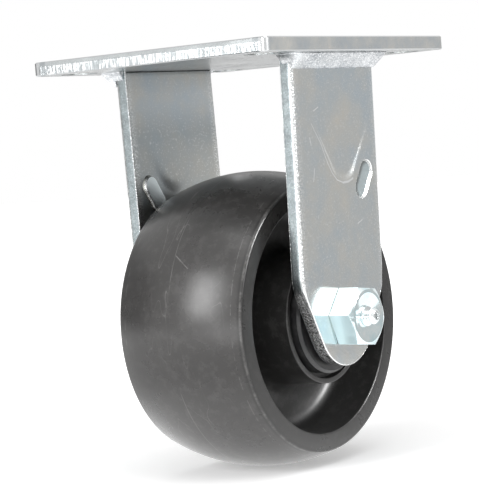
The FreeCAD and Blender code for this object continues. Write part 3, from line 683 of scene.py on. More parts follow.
@dataclass(frozen=True)
class ShearedPlate:
    """Zinc over flat bar: rolled faces, sheared ends with torn streaks, and smooth sides."""

    name: str = "plate_zinc"
    warm: Colour = (0.69, 0.675, 0.635)
    cool: Colour = (0.56, 0.61, 0.65)
    end_tone: Colour = (0.50, 0.525, 0.53)
    tear_dark: Colour = (0.36, 0.385, 0.395)
    # Painted shade: the darker colour given to faces that look down, such as the plate's underside.
    under: Colour = (0.27, 0.285, 0.29)
    half_width: float = 48.2
    burnished: Colour = (0.54, 0.55, 0.555)
    # Painted shade: the darker colour given to faces that look up, such as the plate's top, against the
    # overhead lamp.
    upper: Colour = (0.44, 0.455, 0.46)
    # The bright colour of the torn streaks, which is also a painted highlight on the plate's rounded vertical
    # corners.
    bright_tear_and_highlight: Colour = (0.84, 0.855, 0.86)
    half_length: float = 53.0
    burnish_depth: float = 1.5
    burr_zone: tuple[float, float] = (-4.55, -4.25)
    worn_zone: tuple[float, float] = (2.4, 3.2)
    scar_zone: tuple[float, float, float, float] = (2.8, 3.3, 5.0, 5.6)

    def build(self) -> bpy.types.Material:
        """Makes the material.

        Returns:
            The finished material.
        """
        finish = Finish(self.name)
        board = finish.board
        tint, grit = finish.tone(60.0, 2.0), finish.grit(2300.0, 0.62)
        streaks = finish.grit(1500.0, 0.49, (1.0, 1.0, 0.20))
        grain = finish.grit(1500.0, 0.60, (1.0, 1.0, 0.45)).outputs["Points"]
        along = board.math("ABSOLUTE", board.part(finish.place, Axis.X))
        aside = board.math("ABSOLUTE", board.part(finish.place, Axis.Y))
        inset = board.math("SUBTRACT", self.half_width * MM, aside)
        height, upward = board.part(finish.place, Axis.Z), board.part(finish.facing, Axis.Z)
        end = board.span_mm(along, self.half_length - 0.75, self.half_length - 0.35)
        worn = board.times(board.span_mm(inset, *self.worn_zone, 1.0, 0.0), end)
        scar = board.times(finish.between(inset, *(limit * MM for limit in self.scar_zone)), end, 0.75)
        torn = board.span_mm(height, -self.burnish_depth - 0.35, -self.burnish_depth + 0.25, 1.0, 0.0)
        torn = board.times(torn, end, board.span_mm(height, *self.burr_zone), board.rest(worn))
        level = finish.faces(Axis.Z)
        corner = finish.between(finish.faces(Axis.X), 0.20, 0.45, 0.80, 0.97)
        rim = finish.between(level, 0.25, 0.5, 0.80, 0.97)
        layers = ((board.times(grain, 0.35), self.burnished), (end, self.end_tone),
                  # Painted shade on the faces that look down.
                  (board.span(upward, -0.9, -0.5, 0.85, 0.0), self.under),
                  # Painted shade on the faces that look up.
                  (board.span(upward, 0.6, 0.95, 0.0, 0.9), self.upper),
                  (board.times(board.most(corner, rim), 0.8), self.burnished),
                  # Painted highlight: a bright column down the plate's rounded vertical corners.
                  (board.times(corner, board.span(level, 0.08, 0.25, 1.0, 0.0)), self.bright_tear_and_highlight),
                  (worn, self.burnished),
                  (torn, board.blend(streaks.outputs["Points"], self.tear_dark, self.bright_tear_and_highlight)),
                  (scar, self.tear_dark))
        colour = board.blend(tint, self.cool, self.warm)
        for share, tone in layers:
            colour = board.blend(share, colour, tone)
        shine = board.math("MULTIPLY_ADD", tint, 0.12, 0.16)
        finish.set(Base_Color=colour, Metallic=1.0, Roughness=board.mix(torn, shine, 0.30))
        fine = finish.bump(grit.outputs["Height"], 0.010, 0.7)
        torn_height = board.times(streaks.outputs["Height"], torn)
        finish.set(Normal=finish.bump(torn_height, 0.16, 1.0, fine))
        return finish.material


@dataclass(frozen=True)
class WeldMetal:
    """Bright plated weld with a frosted skin."""

    name: str = "weld_metal"
    low: Colour = (0.42, 0.445, 0.47)
    high: Colour = (0.72, 0.735, 0.75)
    glint: Colour = (0.98, 0.99, 1.0)
    roughness: float = 0.36

    def build(self) -> bpy.types.Material:
        """Makes the material.

        Returns:
            The finished material.
        """
        finish = Finish(self.name)
        board = finish.board
        mottle, grit = finish.tone(150.0, 2.0), finish.grit(1900.0, 0.52)
        tone = board.blend(mottle, self.low, self.high)
        finish.set(Base_Color=board.blend(grit.outputs["Points"], tone, self.glint), Metallic=1.0,
                   Roughness=board.math("MULTIPLY_ADD", mottle, 0.15, self.roughness - 0.07),
                   Normal=finish.bump(grit.outputs["Height"], 0.20, 1.0))
        return finish.material


@dataclass(frozen=True)
class BrightZinc:
    """Clear zinc on turned and forged fasteners, with faint rings about the axle."""

    name: str
    plain: Colour = (0.86, 0.88, 0.87)
    tinted: Colour = (0.70, 0.80, 0.84)
    roughness: float = 0.12
    rings: float = 0.004
    facets: float = 0.0

    def build(self) -> bpy.types.Material:
        """Makes the material.

        Returns:
            The finished material.
        """
        finish = Finish(self.name)
        board = finish.board
        mottle, grit = finish.tone(240.0, 1.4), finish.grit(3200.0, 0.66)
        lines = finish.rings(finish.axle_radius(), 2600.0)
        colour = board.blend(mottle, self.tinted, self.plain)
        shine = board.math("MULTIPLY_ADD", mottle, 0.12, self.roughness - 0.06)
        if self.facets > 0:
            flank = board.times(board.span(finish.faces(Axis.Y), 0.10, 0.30, 1.0, 0.0),
                                board.span(board.part(finish.facing, Axis.Z), -0.35, -0.05, 1.0, 0.0))
            colour = board.blend(board.times(flank, 0.85), colour, self.tinted)
            shine = board.math("MULTIPLY_ADD", flank, self.facets, shine)
        fine = finish.bump(grit.outputs["Height"], 0.006, 0.7)
        finish.set(Base_Color=colour, Metallic=1.0, Roughness=shine,
                   Normal=finish.bump(lines, self.rings, 0.8, fine))
        return finish.material


@dataclass(frozen=True)
class TreadPlastic:
    """Black moulded plastic: worn and dusty on the tread and the rim, clean and dark in the bowls."""

    name: str = "moulded_black"
    dark: Colour = (0.019, 0.0185, 0.018)
    tread: Colour = (0.039, 0.0375, 0.0365)
    worn: Colour = (0.21, 0.205, 0.20)
    # Painted shade: the dark tone laid on both shoulders of the tread, on its far side and on the rim's flat
    # side faces.
    painted_shade_tone: Colour = (0.016, 0.0155, 0.015)
    bowl_edge: float = 39.4
    half_width: float = 25.3
    seam_along: float = 0.6
    shoulder_along: float = 21.9
    shoulder_zone: tuple[float, float] = (23.3, 24.2)
    # Where along the axle the tread grows darker towards its far side, a painted shade.
    far_side_shade_zone: tuple[float, float] = (4.0, 24.0)
    edge_zone: tuple[float, float] = (44.0, 45.0)
    scratch: tuple[Point, Point] = ((-43.9, 0.75, -67.2), (-45.7, -5.05, -71.4))
    bowl_roughness: float = 0.33
    tread_roughness: float = 0.235

    def build(self) -> bpy.types.Material:
        """Makes the material.

        Returns:
            The finished material.
        """
        finish = Finish(self.name)
        board = finish.board
        radius = finish.axle_radius()
        along = board.math("SUBTRACT", board.part(finish.place, Axis.Y), WHEEL_OFFSET * MM)
        side = board.math("ABSOLUTE", along)
        outside = board.span_mm(radius, self.bowl_edge - 0.5, self.bowl_edge + 0.4)
        mottle, dust = finish.tone(45.0, 1.3), finish.tone(320.0, 1.5)
        grit = finish.grit(1200.0, 0.60)
        lines, rings = finish.rings(along, 1500.0), finish.rings(radius, 1300.0)
        ringed = board.most(self.ring_mark(finish, along, self.seam_along, 0.20, mottle),
                            self.ring_mark(finish, side, self.shoulder_along, 0.16, dust))
        wear = board.most(self.corner_wear(finish, side, radius, dust),
                          board.times(finish.hairs(70.0, 0.57, (0.6, 2.2, 0.6)), outside, 0.45),
                          board.times(ringed, outside, 0.4),
                          board.times(finish.stroke(*self.scratch, 0.22), 0.6))
        # Painted shade on both shoulders of the tread, near the rim's edge.
        shoulder_painted_shade = board.times(board.span_mm(side, *self.shoulder_zone),
                              board.span_mm(radius, *self.edge_zone), 0.7)
        # Painted shade: the tread darkens towards its far side near the rim's edge.
        far_side_painted_shade = board.times(board.span_mm(board.part(finish.place, Axis.Y), *self.far_side_shade_zone, 0.0, 0.55),
                              board.span_mm(radius, self.edge_zone[0] - 1.0, self.edge_zone[1]))
        # Painted shade on the rim's flat side faces.
        rim_face_painted_shade = board.times(board.span(finish.faces(Axis.Y), 0.90, 0.99, 0.0, 0.40),
                               board.span_mm(radius, self.bowl_edge - 0.4, self.bowl_edge + 0.6))
        base = board.blend(outside, self.dark, self.tread)
        base = board.blend(board.times(board.span(dust, 0.45, 0.8), 0.10), base, self.worn)
        # Painted shade on the shoulders and on the tread's far side.
        base = board.blend(board.most(shoulder_painted_shade, far_side_painted_shade), base, self.painted_shade_tone)
        base = board.blend(rim_face_painted_shade, base, self.painted_shade_tone)
        gloss = board.span(outside, 0.0, 1.0, self.bowl_roughness, self.tread_roughness)
        finish.set(Base_Color=board.blend(wear, base, self.worn),
                   Roughness=board.math("MULTIPLY_ADD", mottle, 0.10, gloss))
        fine = finish.bump(grit.outputs["Height"], 0.016, 0.8)
        relief = board.mix(board.span_mm(side, self.half_width - 0.7, self.half_width),
                           board.times(lines, outside), rings)
        finish.set(Normal=finish.bump(board.mix(outside, rings, relief), 0.009, 1.0, fine))
        return finish.material

    def corner_wear(self, finish: Finish, side: Socket, radius: Socket,
                    dust: Socket) -> Socket:
        """The worn corner between the tread and the side of the rim.

        Args:
            finish: The material under way.
            side: The distance from the wheel's middle plane.
            radius: The distance from the axle.
            dust: What breaks the wear up.

        Returns:
            The wear from 0 to 1.
        """
        board = finish.board
        off = board.math("ABSOLUTE", board.math("SUBTRACT", side, (self.half_width - 0.55) * MM))
        line = board.times(board.span_mm(off, 0.08, 0.55, 1.0, 0.0), board.span_mm(radius, 44.2, 45.0))
        return board.times(line, board.span(dust, 0.30, 0.75, 0.12, 0.50))

    def ring_mark(self, finish: Finish, place: Socket, at: float, width: float,
                  breaks: Socket) -> Socket:
        """A thin ring round the tread, broken where the wear is low.

        Args:
            finish: The material under way.
            place: The place along the axle.
            at: Where the ring is, in millimetres.
            width: Half the ring's width, in millimetres.
            breaks: What breaks it up.

        Returns:
            The ring's mask.
        """
        board = finish.board
        off = board.math("ABSOLUTE", board.math("SUBTRACT", place, at * MM))
        line = board.span_mm(off, 0.3 * width, width, 1.0, 0.0)
        return board.times(line, board.span(breaks, 0.40, 0.62))


@dataclass(frozen=True)
class PlainPlastic:
    """Smooth moulded plastic with a faint grain and uneven gloss."""

    name: str
    base: Colour
    speck: Colour
    roughness: float = 0.38

    def build(self) -> bpy.types.Material:
        """Makes the material.

        Returns:
            The finished material.
        """
        finish = Finish(self.name)
        board = finish.board
        mottle, grit = finish.tone(150.0, 1.2), finish.grit(1600.0, 0.62)
        lines = finish.rings(finish.axle_radius(), 1500.0)
        fine = finish.bump(grit.outputs["Height"], 0.012, 0.7)
        finish.set(Base_Color=board.blend(board.span(mottle, 0.3, 0.9), self.base, self.speck),
                   Roughness=board.math("MULTIPLY_ADD", mottle, 0.2, self.roughness - 0.1),
                   Normal=finish.bump(lines, 0.012, 0.8, fine))
        return finish.material


# Sub-assemblies

@dataclass
class Studio:
    """The plain room: a pale floor, soft lamps, a white surround and the camera."""

    camera_place: Point = (-0.57104, -0.41679, -0.034685)
    camera_right: Point = (0.59170545, -0.80252209, -0.07643928)
    camera_down: Point = (-0.08388752, 0.03301011, -0.99592832)
    camera_ahead: Point = (0.80177774, 0.59570851, -0.04778933)
    lens: float = 148.40
    floor_height: float = -143.0
    floor_side: float = 8.0
    floor_glow: float = 0.34
    surround: float = 0.42
    card_foot: float = -0.142

    def camera(self) -> None:
        """Stands the camera at the photograph's viewing angle."""
        data = bpy.data.cameras.new("camera")
        data.lens = self.lens
        data.sensor_width = SHEET_WIDTH
        data.clip_start = 0.01
        eye = bpy.data.objects.new("camera", data)
        right, down, ahead = Vector(self.camera_right), Vector(self.camera_down), Vector(self.camera_ahead)
        turn = Matrix((right, -down, -ahead)).transposed().to_4x4()
        eye.matrix_world = Matrix.Translation(self.camera_place) @ turn
        bpy.context.scene.collection.objects.link(eye)
        bpy.context.scene.camera = eye

    def lamp(self, name: str, bearing: float, rise: float, distance: float, size: tuple[float, float],
             radiance: float, glint: bool = False) -> None:
        """Hangs a soft lamp that looks at the castor.

        Args:
            name: The lamp's name.
            bearing: Its direction from the castor, in degrees from +X towards +Y.
            rise: Its angle above the level, in degrees.
            distance: How far away it is, in metres.
            size: Its width and height, in metres.
            radiance: How bright its face looks, where 1 is white.
            glint: True for a lamp that only shows as a highlight.
        """
        data = bpy.data.lights.new(name, "AREA")
        data.shape = "RECTANGLE"
        data.size, data.size_y = size
        data.energy = radiance * math.pi * size[0] * size[1]
        lamp = bpy.data.objects.new(name, data)
        around, up = math.radians(bearing), math.radians(rise)
        away = Vector((math.cos(around) * math.cos(up), math.sin(around) * math.cos(up), math.sin(up)))
        lamp.location = away * distance + Vector((0, 0, -0.07))
        lamp.rotation_mode = "QUATERNION"
        lamp.rotation_quaternion = away.to_track_quat("Z", "Y")
        lamp.visible_diffuse = not glint
        bpy.context.scene.collection.objects.link(lamp)

    def card(self, name: str, bearing: float, width: float, start: tuple[float, float],
             stop: tuple[float, float], tone: float) -> None:
        """Stands a grey card near the castor, which shows only in its metal and gloss.

        Args:
            name: The card's name.
            bearing: Its direction from the castor, in degrees from +X towards +Y.
            width: Its width, in metres.
            start: One long side's distance from the axle's middle and height, in metres.
            stop: The other long side's distance and height.
            tone: How bright it looks, where 1 is white.
        """
        around = math.radians(bearing)
        rows = []
        for distance, height in (start, stop):
            middle = Vector((math.cos(around), math.sin(around), 0.0)) * distance
            aside = Vector((-math.sin(around), math.cos(around), 0.0)) * (width / 2)
            rows.append([tuple((middle + aside * turn + Vector((0, 0, height))) / MM) for turn in (-1, 1)])
        sheet = grid_mesh(name, rows, close_rows=False, close_columns=False)
        finish = Finish(name + "_paper")
        finish.set(Base_Color=(0.0, 0.0, 0.0), Specular_IOR_Level=0.0, Emission_Color=(1.0, 1.0, 1.0),
                   Emission_Strength=tone)
        dress(sheet, finish.material)
        sheet.visible_camera = False
        sheet.visible_diffuse = False
        sheet.visible_shadow = False
        sheet.visible_transmission = False

    def world(self) -> None:
        """Surrounds the castor with white that the camera, metal and glass see, and soft light."""
        world = bpy.data.worlds.new("surround")
        bpy.context.scene.world = world
        world.use_nodes = True
        world.node_tree.nodes.clear()
        board = Board(world.node_tree)
        rays = board.add("ShaderNodeLightPath")
        seen = board.most(rays.outputs["Is Camera Ray"], rays.outputs["Is Glossy Ray"],
                          rays.outputs["Is Transmission Ray"])
        strength = board.math("MULTIPLY_ADD", seen, 1.0 - self.surround, self.surround)
        background = board.add("ShaderNodeBackground", {"Color": (1.0, 1.0, 1.0), "Strength": strength})
        board.feed(board.add("ShaderNodeOutputWorld").inputs["Surface"], background.outputs[0])

    def floor(self) -> None:
        """Lays a pale floor that keeps the castor's soft shadow."""
        half = self.floor_side / 2 / MM
        corners = [[(-half, -half, self.floor_height), (half, -half, self.floor_height)],
                   [(-half, half, self.floor_height), (half, half, self.floor_height)]]
        sheet = grid_mesh("floor", corners, close_rows=False, close_columns=False)
        finish = Finish("floor_paper")
        board = finish.board
        finish.set(Base_Color=board.blend(finish.tone(8.0, 0.2), (0.88, 0.88, 0.88), (0.92, 0.92, 0.92)),
                   Roughness=0.9)
        rays = board.add("ShaderNodeLightPath")
        seen = board.most(rays.outputs["Is Camera Ray"], rays.outputs["Is Glossy Ray"])
        reach = board.measure("LENGTH", board.stretch(finish.place, (1.0, 1.0, 0.0)))
        glow = board.span(reach, 0.10, 0.55, self.floor_glow, 1.0)
        middle = board.times(board.span(reach, 0.045, 0.11, 0.78, 0.0), rays.outputs["Is Glossy Ray"])
        glow = board.math("ADD", glow, middle)
        finish.set(Emission_Color=(1.0, 1.0, 1.0), Emission_Strength=board.times(seen, glow))
        dress(sheet, finish.material)

    def build(self) -> None:
        """Sets up the room."""
        self.camera()
        self.world()
        self.floor()
        self.lamp("key", bearing=166.0, rise=20.0, distance=1.2, size=(0.34, 0.60), radiance=12.0)
        self.lamp("overhead", bearing=235.0, rise=68.0, distance=1.1, size=(1.1, 1.1), radiance=2.0)
        self.lamp("side", bearing=285.0, rise=27.0, distance=1.2, size=(0.40, 0.40), radiance=46.0,
                  glint=True)
        self.lamp("low", bearing=200.0, rise=-9.0, distance=0.42, size=(0.45, 0.10), radiance=3.0)
        foot = self.card_foot
        self.card("side_card", bearing=-48.0, width=1.04, start=(0.62, foot), stop=(0.62, 0.17), tone=0.62)
        self.card("side_apron", bearing=-48.0, width=1.04, start=(0.24, foot), stop=(0.62, foot), tone=0.60)
        self.card("back_card", bearing=98.0, width=1.0, start=(0.95, foot), stop=(0.95, 0.40), tone=0.35)
        self.card("end_card", bearing=37.0, width=0.75, start=(0.90, foot), stop=(0.90, 0.25), tone=0.50)


@dataclass
class MouldedWheel:
    """The wheel: a crowned tread, a deep bowl on each side and a long hub."""

    tread_radius: float = 50.6
    half_width: float = 25.3
    rim_edge_radius: float = 45.6
    crown_half: float = 24.7
    rim_inner_radius: float = 39.2
    web_half: float = 7.5
    bowl_outer: float = 38.48
    bowl_inner: float = 22.79
    bowl_round: float = 6.0
    hub_radius: float = 22.4
    hub_half: float = 26.85
    lip_radius: float = 20.6
    recess: float = 3.0
    bore_radius: float = 15.08
    seam_along: float = 0.6
    seam_rise: float = 0.045
    crown_steps: int = 110
    segments: int = 192

    def crown(self) -> Outline:
        """The crowned tread from the far side to the near side, with its moulding seam.

        Returns:
            The tread's points.
        """
        sag = self.tread_radius - self.rim_edge_radius
        bend = (self.crown_half ** 2 + sag ** 2) / (2 * sag)
        stops = [self.crown_half * (1 - 2 * step / self.crown_steps) for step in range(self.crown_steps + 1)]
        stops += [self.seam_along + offset for offset in (-0.22, -0.11, 0.0, 0.11, 0.22)]
        outline: Outline = []
        for along in sorted(stops, reverse=True):
            radius = self.tread_radius - bend + math.sqrt(bend ** 2 - along ** 2)
            rise = self.seam_rise * max(0.0, 1 - abs(along - self.seam_along) / 0.2)
            radius += min(rise, self.tread_radius - radius)
            outline.append((radius, along))
        return outline

    def side(self) -> Outline:
        """Half of the section, from the bearing's bore out to the tread's edge.

        Returns:
            The points on the far side.
        """
        corner = self.rim_edge_radius - (self.half_width - self.crown_half) * 0.45
        points = soften([
            (self.bore_radius, 10.0, 0.0),
            (self.bore_radius, self.hub_half - self.recess, 0.3),
            (self.lip_radius, self.hub_half - self.recess, 0.4),
            (self.lip_radius, self.hub_half, 0.35),
            (self.hub_radius, self.hub_half, 0.5),
            (self.bowl_inner, self.web_half, self.bowl_round),
            (self.bowl_outer, self.web_half, self.bowl_round),
            (self.rim_inner_radius, self.half_width, 0.7),
            (corner, self.half_width, 0.6),
            (self.rim_edge_radius, self.crown_half, 0.0),
        ], steps=7)
        return points[:-1]

    def uneven(self, radius: float, along: float, angle: float) -> float:
        """The radius at a point, with the faint unevenness of a moulding.

        Args:
            radius: The section's radius there.
            along: The place along the axle.
            angle: The angle round the axle.

        Returns:
            The radius to use.
        """
        if radius < self.rim_inner_radius:
            return radius
        spot = Vector((math.cos(angle) * 2.2, along * 0.05, math.sin(angle) * 2.2))
        return radius - 0.05 * (0.5 + 0.5 * noise.noise(spot))

    def build(self) -> None:
        """Builds and dresses the wheel."""
        side = self.side()
        outline = side + self.crown() + [(radius, -along) for radius, along in reversed(side)]
        piece = lathe("wheel_moulding", outline, WHEEL_OFFSET, self.segments, self.uneven)
        dress(piece, TreadPlastic().build())
        stand_for(piece, Body.WHEEL, "black_moulded_plastic", "wheel")


@dataclass
class StampedLeg:
    """A leg: a round-ended flat with rolled corners, a half-sheared slug and a shallow pressed dent."""

    side: int
    width: float = 48.6
    thickness: float = 4.76
    toe: float = 1.3
    outer_top: float = 37.048
    top: float = -4.843
    reach: float = 87.633
    end_radius: float = 16.3
    taper_rise: float = 11.0
    shoulder_radius: float = 20.0
    outer_round: float = 1.6
    low_round: float = 0.40
    inner_round: float = 0.35
    slug_length: float = 13.8
    slug_width: float = 7.2
    slug_lean: float = 32.0
    slug_across: float = 15.0
    slug_rise: float = 45.3
    slug_depth: float = 1.0
    slug_stand: float = 1.3
    dent_rise: float = 53.8
    dent_across: float = 3.1
    dent_radius: float = 6.4
    dent_half_angle: float = 36.0
    dent_run: float = 14.5
    dent_depth: float = 0.55
    dent_slope: float = 0.364
    bulge: float = 0.40
    eye_top: float = -84.0
    eye_fade: float = 3.0
    scratch_width: float = 0.22
    across_steps: int = 150
    slug_ends: tuple[tuple[float, float], tuple[float, float]] = field(init=False)
    # Points along the dent's left border and bottom, with half widths: partly a scratch, partly a painted
    # highlight for the crease and the bottom crescent.
    dent_painted_highlight: tuple[Point, ...] = (
        (-15.0, 65.0, 0.14), (-12.3, 61.3, 0.18), (-9.9, 58.2, 0.20), (-7.8, 53.9, 0.22), (-6.3, 51.3, 0.22),
        (-4.1, 48.2, 0.24), (-1.5, 45.8, 0.30), (2.1, 44.7, 0.50), (5.3, 44.9, 0.50), (8.0, 45.8, 0.22),
    )
    loose_scratches: tuple[tuple[float, float, float, float], ...] = (
        (-14.3, 50.2, -15.3, 46.0), (-13.2, 69.0, -10.4, 70.2), (-16.2, 60.4, -15.6, 57.8),
        (9.6, 30.5, 12.4, 31.6),
    )

    def __post_init__(self) -> None:
        """Works out the slug's middle line, which the mesh and the finish share."""
        lean = math.radians(self.slug_lean)
        half = (self.slug_length - self.slug_width) / 2
        step = (half * math.sin(lean), half * math.cos(lean))
        middle = (self.slug_across, self.slug_rise - self.reach)
        self.slug_ends = ((middle[0] - step[0], middle[1] - step[1]),
                          (middle[0] + step[0], middle[1] + step[1]))

    def place(self, across: float, depth: float, up: float) -> Point:
        """A point of the leg in the part's frame.

        Args:
            across: The place across the leg.
            depth: The depth from its outer face.
            up: The height from its top, which is negative.

        Returns:
            The point, in millimetres.
        """
        lean = math.radians(self.toe)
        inward = depth * math.cos(lean) - up * math.sin(lean)
        height = depth * math.sin(lean) + up * math.cos(lean)
        return (-self.side * across, self.side * (self.outer_top - inward), self.top + height)

    def slug_line(self, depth: float) -> tuple[Point, Point]:
        """The slug's middle line at a depth, in the part's frame."""
        first, last = self.slug_ends
        return self.place(first[0], depth, first[1]), self.place(last[0], depth, last[1])

    def slug_gap(self, across: float, up: float) -> float:
        """The distance of a point on the face from the slug's middle line.

        Args:
            across: The place across the leg.
            up: The height from its top.

        Returns:
            The distance, in millimetres.
        """
        first, last = Vector(self.slug_ends[0]), Vector(self.slug_ends[1])
        line = last - first
        away = Vector((across, up)) - first
        share = min(1.0, max(0.0, away.dot(line) / line.length_squared))
        return (away - line * share).length

    def dent_gap(self, across: float, up: float, half_angle: float) -> float:
        """The distance of a point on the face from the dent's floor, which is negative inside it.

        Args:
            across: The place across the leg.
            up: The height from its top.
            half_angle: How far the dent's sides lean outwards, in degrees.

        Returns:
            The distance, in millimetres.
        """
        u = abs(across - self.dent_across)
        v = up + self.reach - self.dent_rise
        lean = math.radians(half_angle)
        if u * math.sin(lean) + v * math.cos(lean) < 0:
            return math.hypot(u, v) - self.dent_radius
        return u * math.cos(lean) - v * math.sin(lean) - self.dent_radius

    def outer_depth(self, across: float, up: float) -> float:
        """How deep the outer face lies at a point.

        Args:
            across: The place across the leg.
            up: The height from its top.

        Returns:
            The depth, in millimetres.
        """
        above = up + self.reach
        floor = self.dent_depth * (self.dent_rise + self.dent_run - above) / self.dent_run
        gap = self.dent_gap(across, up, self.dent_half_angle)
        depth = soft_floor(floor - soft_floor(gap, 0.25) * self.dent_slope, 0.06)
        away = self.slug_gap(across, up)
        radius = self.slug_width / 2
        depth += 0.10 * math.exp(-max(0.0, away - radius) / 0.5)
        dish = self.slug_depth - 0.10 - 0.25 * (away / radius) ** 2
        return depth + dish * ease((radius + 0.1 - away) / 0.45)

    def inner_rise(self, across: float, up: float) -> float:
        """How far the inner face stands out at a point.

        Args:
            across: The place across the leg.
            up: The height from its top.

        Returns:
            The rise, in millimetres.
        """
        above = up + self.reach
        slope = min(1.25, max(0.0, (self.dent_rise + self.dent_run - above) / self.dent_run))
        swell = self.bulge * slope * ease(0.5 - self.dent_gap(across, up, self.dent_half_angle) / 5.0)
        away = self.slug_gap(across, up)
        radius = self.slug_width / 2
        head = self.slug_stand - 0.22 * (away / radius) ** 2
        crevice = 0.7 * math.exp(up / 0.35)
        return swell + head * ease((radius + 0.05 - away) / 0.50) - crevice

    def border(self) -> list[tuple[float, float, float, float]]:
        """Walks down the leg's right-hand border from the top to the tip.

        Returns:
            Points as (across, up, outward across, outward up).
        """
        half = self.width / 2
        shoulder = self.taper_rise - self.reach
        spread = math.hypot(half, self.taper_rise)
        slope = math.atan2(self.taper_rise, half) - math.acos(self.end_radius / spread)
        touch = (self.end_radius * math.cos(slope), -self.reach + self.end_radius * math.sin(slope))
        turn = -slope
        tangent = self.shoulder_radius * math.tan(turn / 2)
        fine_top, fine_low = -self.reach + 72.0, -self.reach + 36.5
        stops = [0.0, -0.06, -0.25, -0.5, -0.8, -1.2] + [fine_top * k / 9 for k in range(1, 9)]
        stops += [fine_top + (fine_low - fine_top) * k / 122 for k in range(122)]
        stops += [fine_low + (shoulder + tangent - fine_low) * k / 14 for k in range(14)]
        points = [(half, up, 1.0, 0.0) for up in stops]
        centre = (half - self.shoulder_radius, shoulder + tangent)
        for k in range(11):
            angle = -turn * k / 10
            away = (math.cos(angle), math.sin(angle))
            points.append((centre[0] + self.shoulder_radius * away[0],
                           centre[1] + self.shoulder_radius * away[1], *away))
        away = (math.cos(turn), -math.sin(turn))
        start = points[-1][:2]
        for k in range(1, 12):
            t = k / 12
            points.append((start[0] + (touch[0] - start[0]) * t, start[1] + (touch[1] - start[1]) * t, *away))
        for k in range(34):
            angle = slope + (-math.radians(89.4) - slope) * k / 33
            away = (math.cos(angle), math.sin(angle))
            points.append((self.end_radius * away[0], -self.reach + self.end_radius * away[1], *away))
        return points

    def round_at(self, height: float) -> float:
        """How large the outer corner's round is: large where the plate was folded, small round the eye.

        Args:
            height: The height in the part's frame.

        Returns:
            The round's radius.
        """
        share = min(1.0, max(0.0, (height - self.eye_top) / self.eye_fade))
        return self.low_round + (self.outer_round - self.low_round) * share

    def corner_profile(self, outer: float) -> Outline:
        """The leg's edge from the outer face to the inner one.

        Args:
            outer: The outer corner's round.

        Returns:
            Points as (how far in from the border, depth from the outer face).
        """
        inner, thick = self.inner_round, self.thickness
        quarter = math.pi / 2
        points = [(outer * (1 - math.sin(quarter * k / 6)), outer * (1 - math.cos(quarter * k / 6)))
                  for k in range(1, 7)]
        points += [(0.0, outer + (thick - outer - inner) * k / 4) for k in range(1, 5)]
        points += [(inner * (1 - math.cos(quarter * k / 4)), thick - inner * (1 - math.sin(quarter * k / 4)))
                   for k in range(1, 5)]
        return points

    def scratches_and_painted_highlight(self) -> tuple[tuple[Point, Point, float], ...]:
        """A painted highlight along the dent's left border and round its bottom, partly a scratch that the
        press left, and a few loose scratch marks, on the near leg.

        Returns:
            Each mark's two ends and half its width.
        """
        if self.side > 0:
            return ()
        line = [(self.place(across, self.outer_depth(across, up - self.reach), up - self.reach), width)
                for across, up, width in self.dent_painted_highlight]
        marks = [(first[0], last[0], first[1]) for first, last in zip(line, line[1:])]
        marks += [(self.place(across, 0.0, up - self.reach), self.place(to_across, 0.0, to_up - self.reach),
                   self.scratch_width) for across, up, to_across, to_up in self.loose_scratches]
        return tuple(marks)

    def build(self) -> None:
        """Builds and dresses the leg."""
        name = "near" if self.side < 0 else "far"
        rows = []
        for across, up, out_across, out_up in self.border():
            loop = []
            outer = self.round_at(self.place(0.0, 0.0, up)[2])
            profile = self.corner_profile(outer)
            reach = max(0.0, across - outer * out_across)
            low = up - outer * out_up
            for k in range(self.across_steps + 1):
                u = reach * (2 * k / self.across_steps - 1)
                loop.append(self.place(u, self.outer_depth(u, low), low))
            for inset, depth in profile:
                loop.append(self.place(max(0.0, across - inset * out_across), depth, up - inset * out_up))
            reach = max(0.0, across - self.inner_round * out_across)
            low = up - self.inner_round * out_up
            for k in range(1, self.across_steps):
                u = reach * (1 - 2 * k / self.across_steps)
                loop.append(self.place(u, self.thickness + self.inner_rise(u, low), low))
            for inset, depth in reversed(profile):
                loop.append(self.place(-max(0.0, across - inset * out_across), depth, up - inset * out_up))
            rows.append(loop)
        piece = grid_mesh("stamped_leg_" + name, rows, close_rows=False, close_columns=True, cap_ends=True)
        slug = self.slug_line(self.slug_depth if self.side < 0 else self.thickness + self.slug_stand)
        if self.side < 0:
            finish = RolledZinc("leg_zinc_near", slug, self.scratches_and_painted_highlight())
        else:
            # The far leg has painted shade low on its inner face, a bright painted reflection on its slug
            # head and dark painted shade round that head.
            finish = RolledZinc("leg_zinc_far", slug, gloss=0.34, painted_shade=0.46, slug_lit=1.0,
                                slug_fresh_lit=(0.86, 0.93, 0.95), slug_wall_painted_light=(0.42, 0.42, 0.38))
        dress(piece, finish.build())
        stand_for(piece, Body.FRAME, "zinc_plated_steel", "leg_" + name)


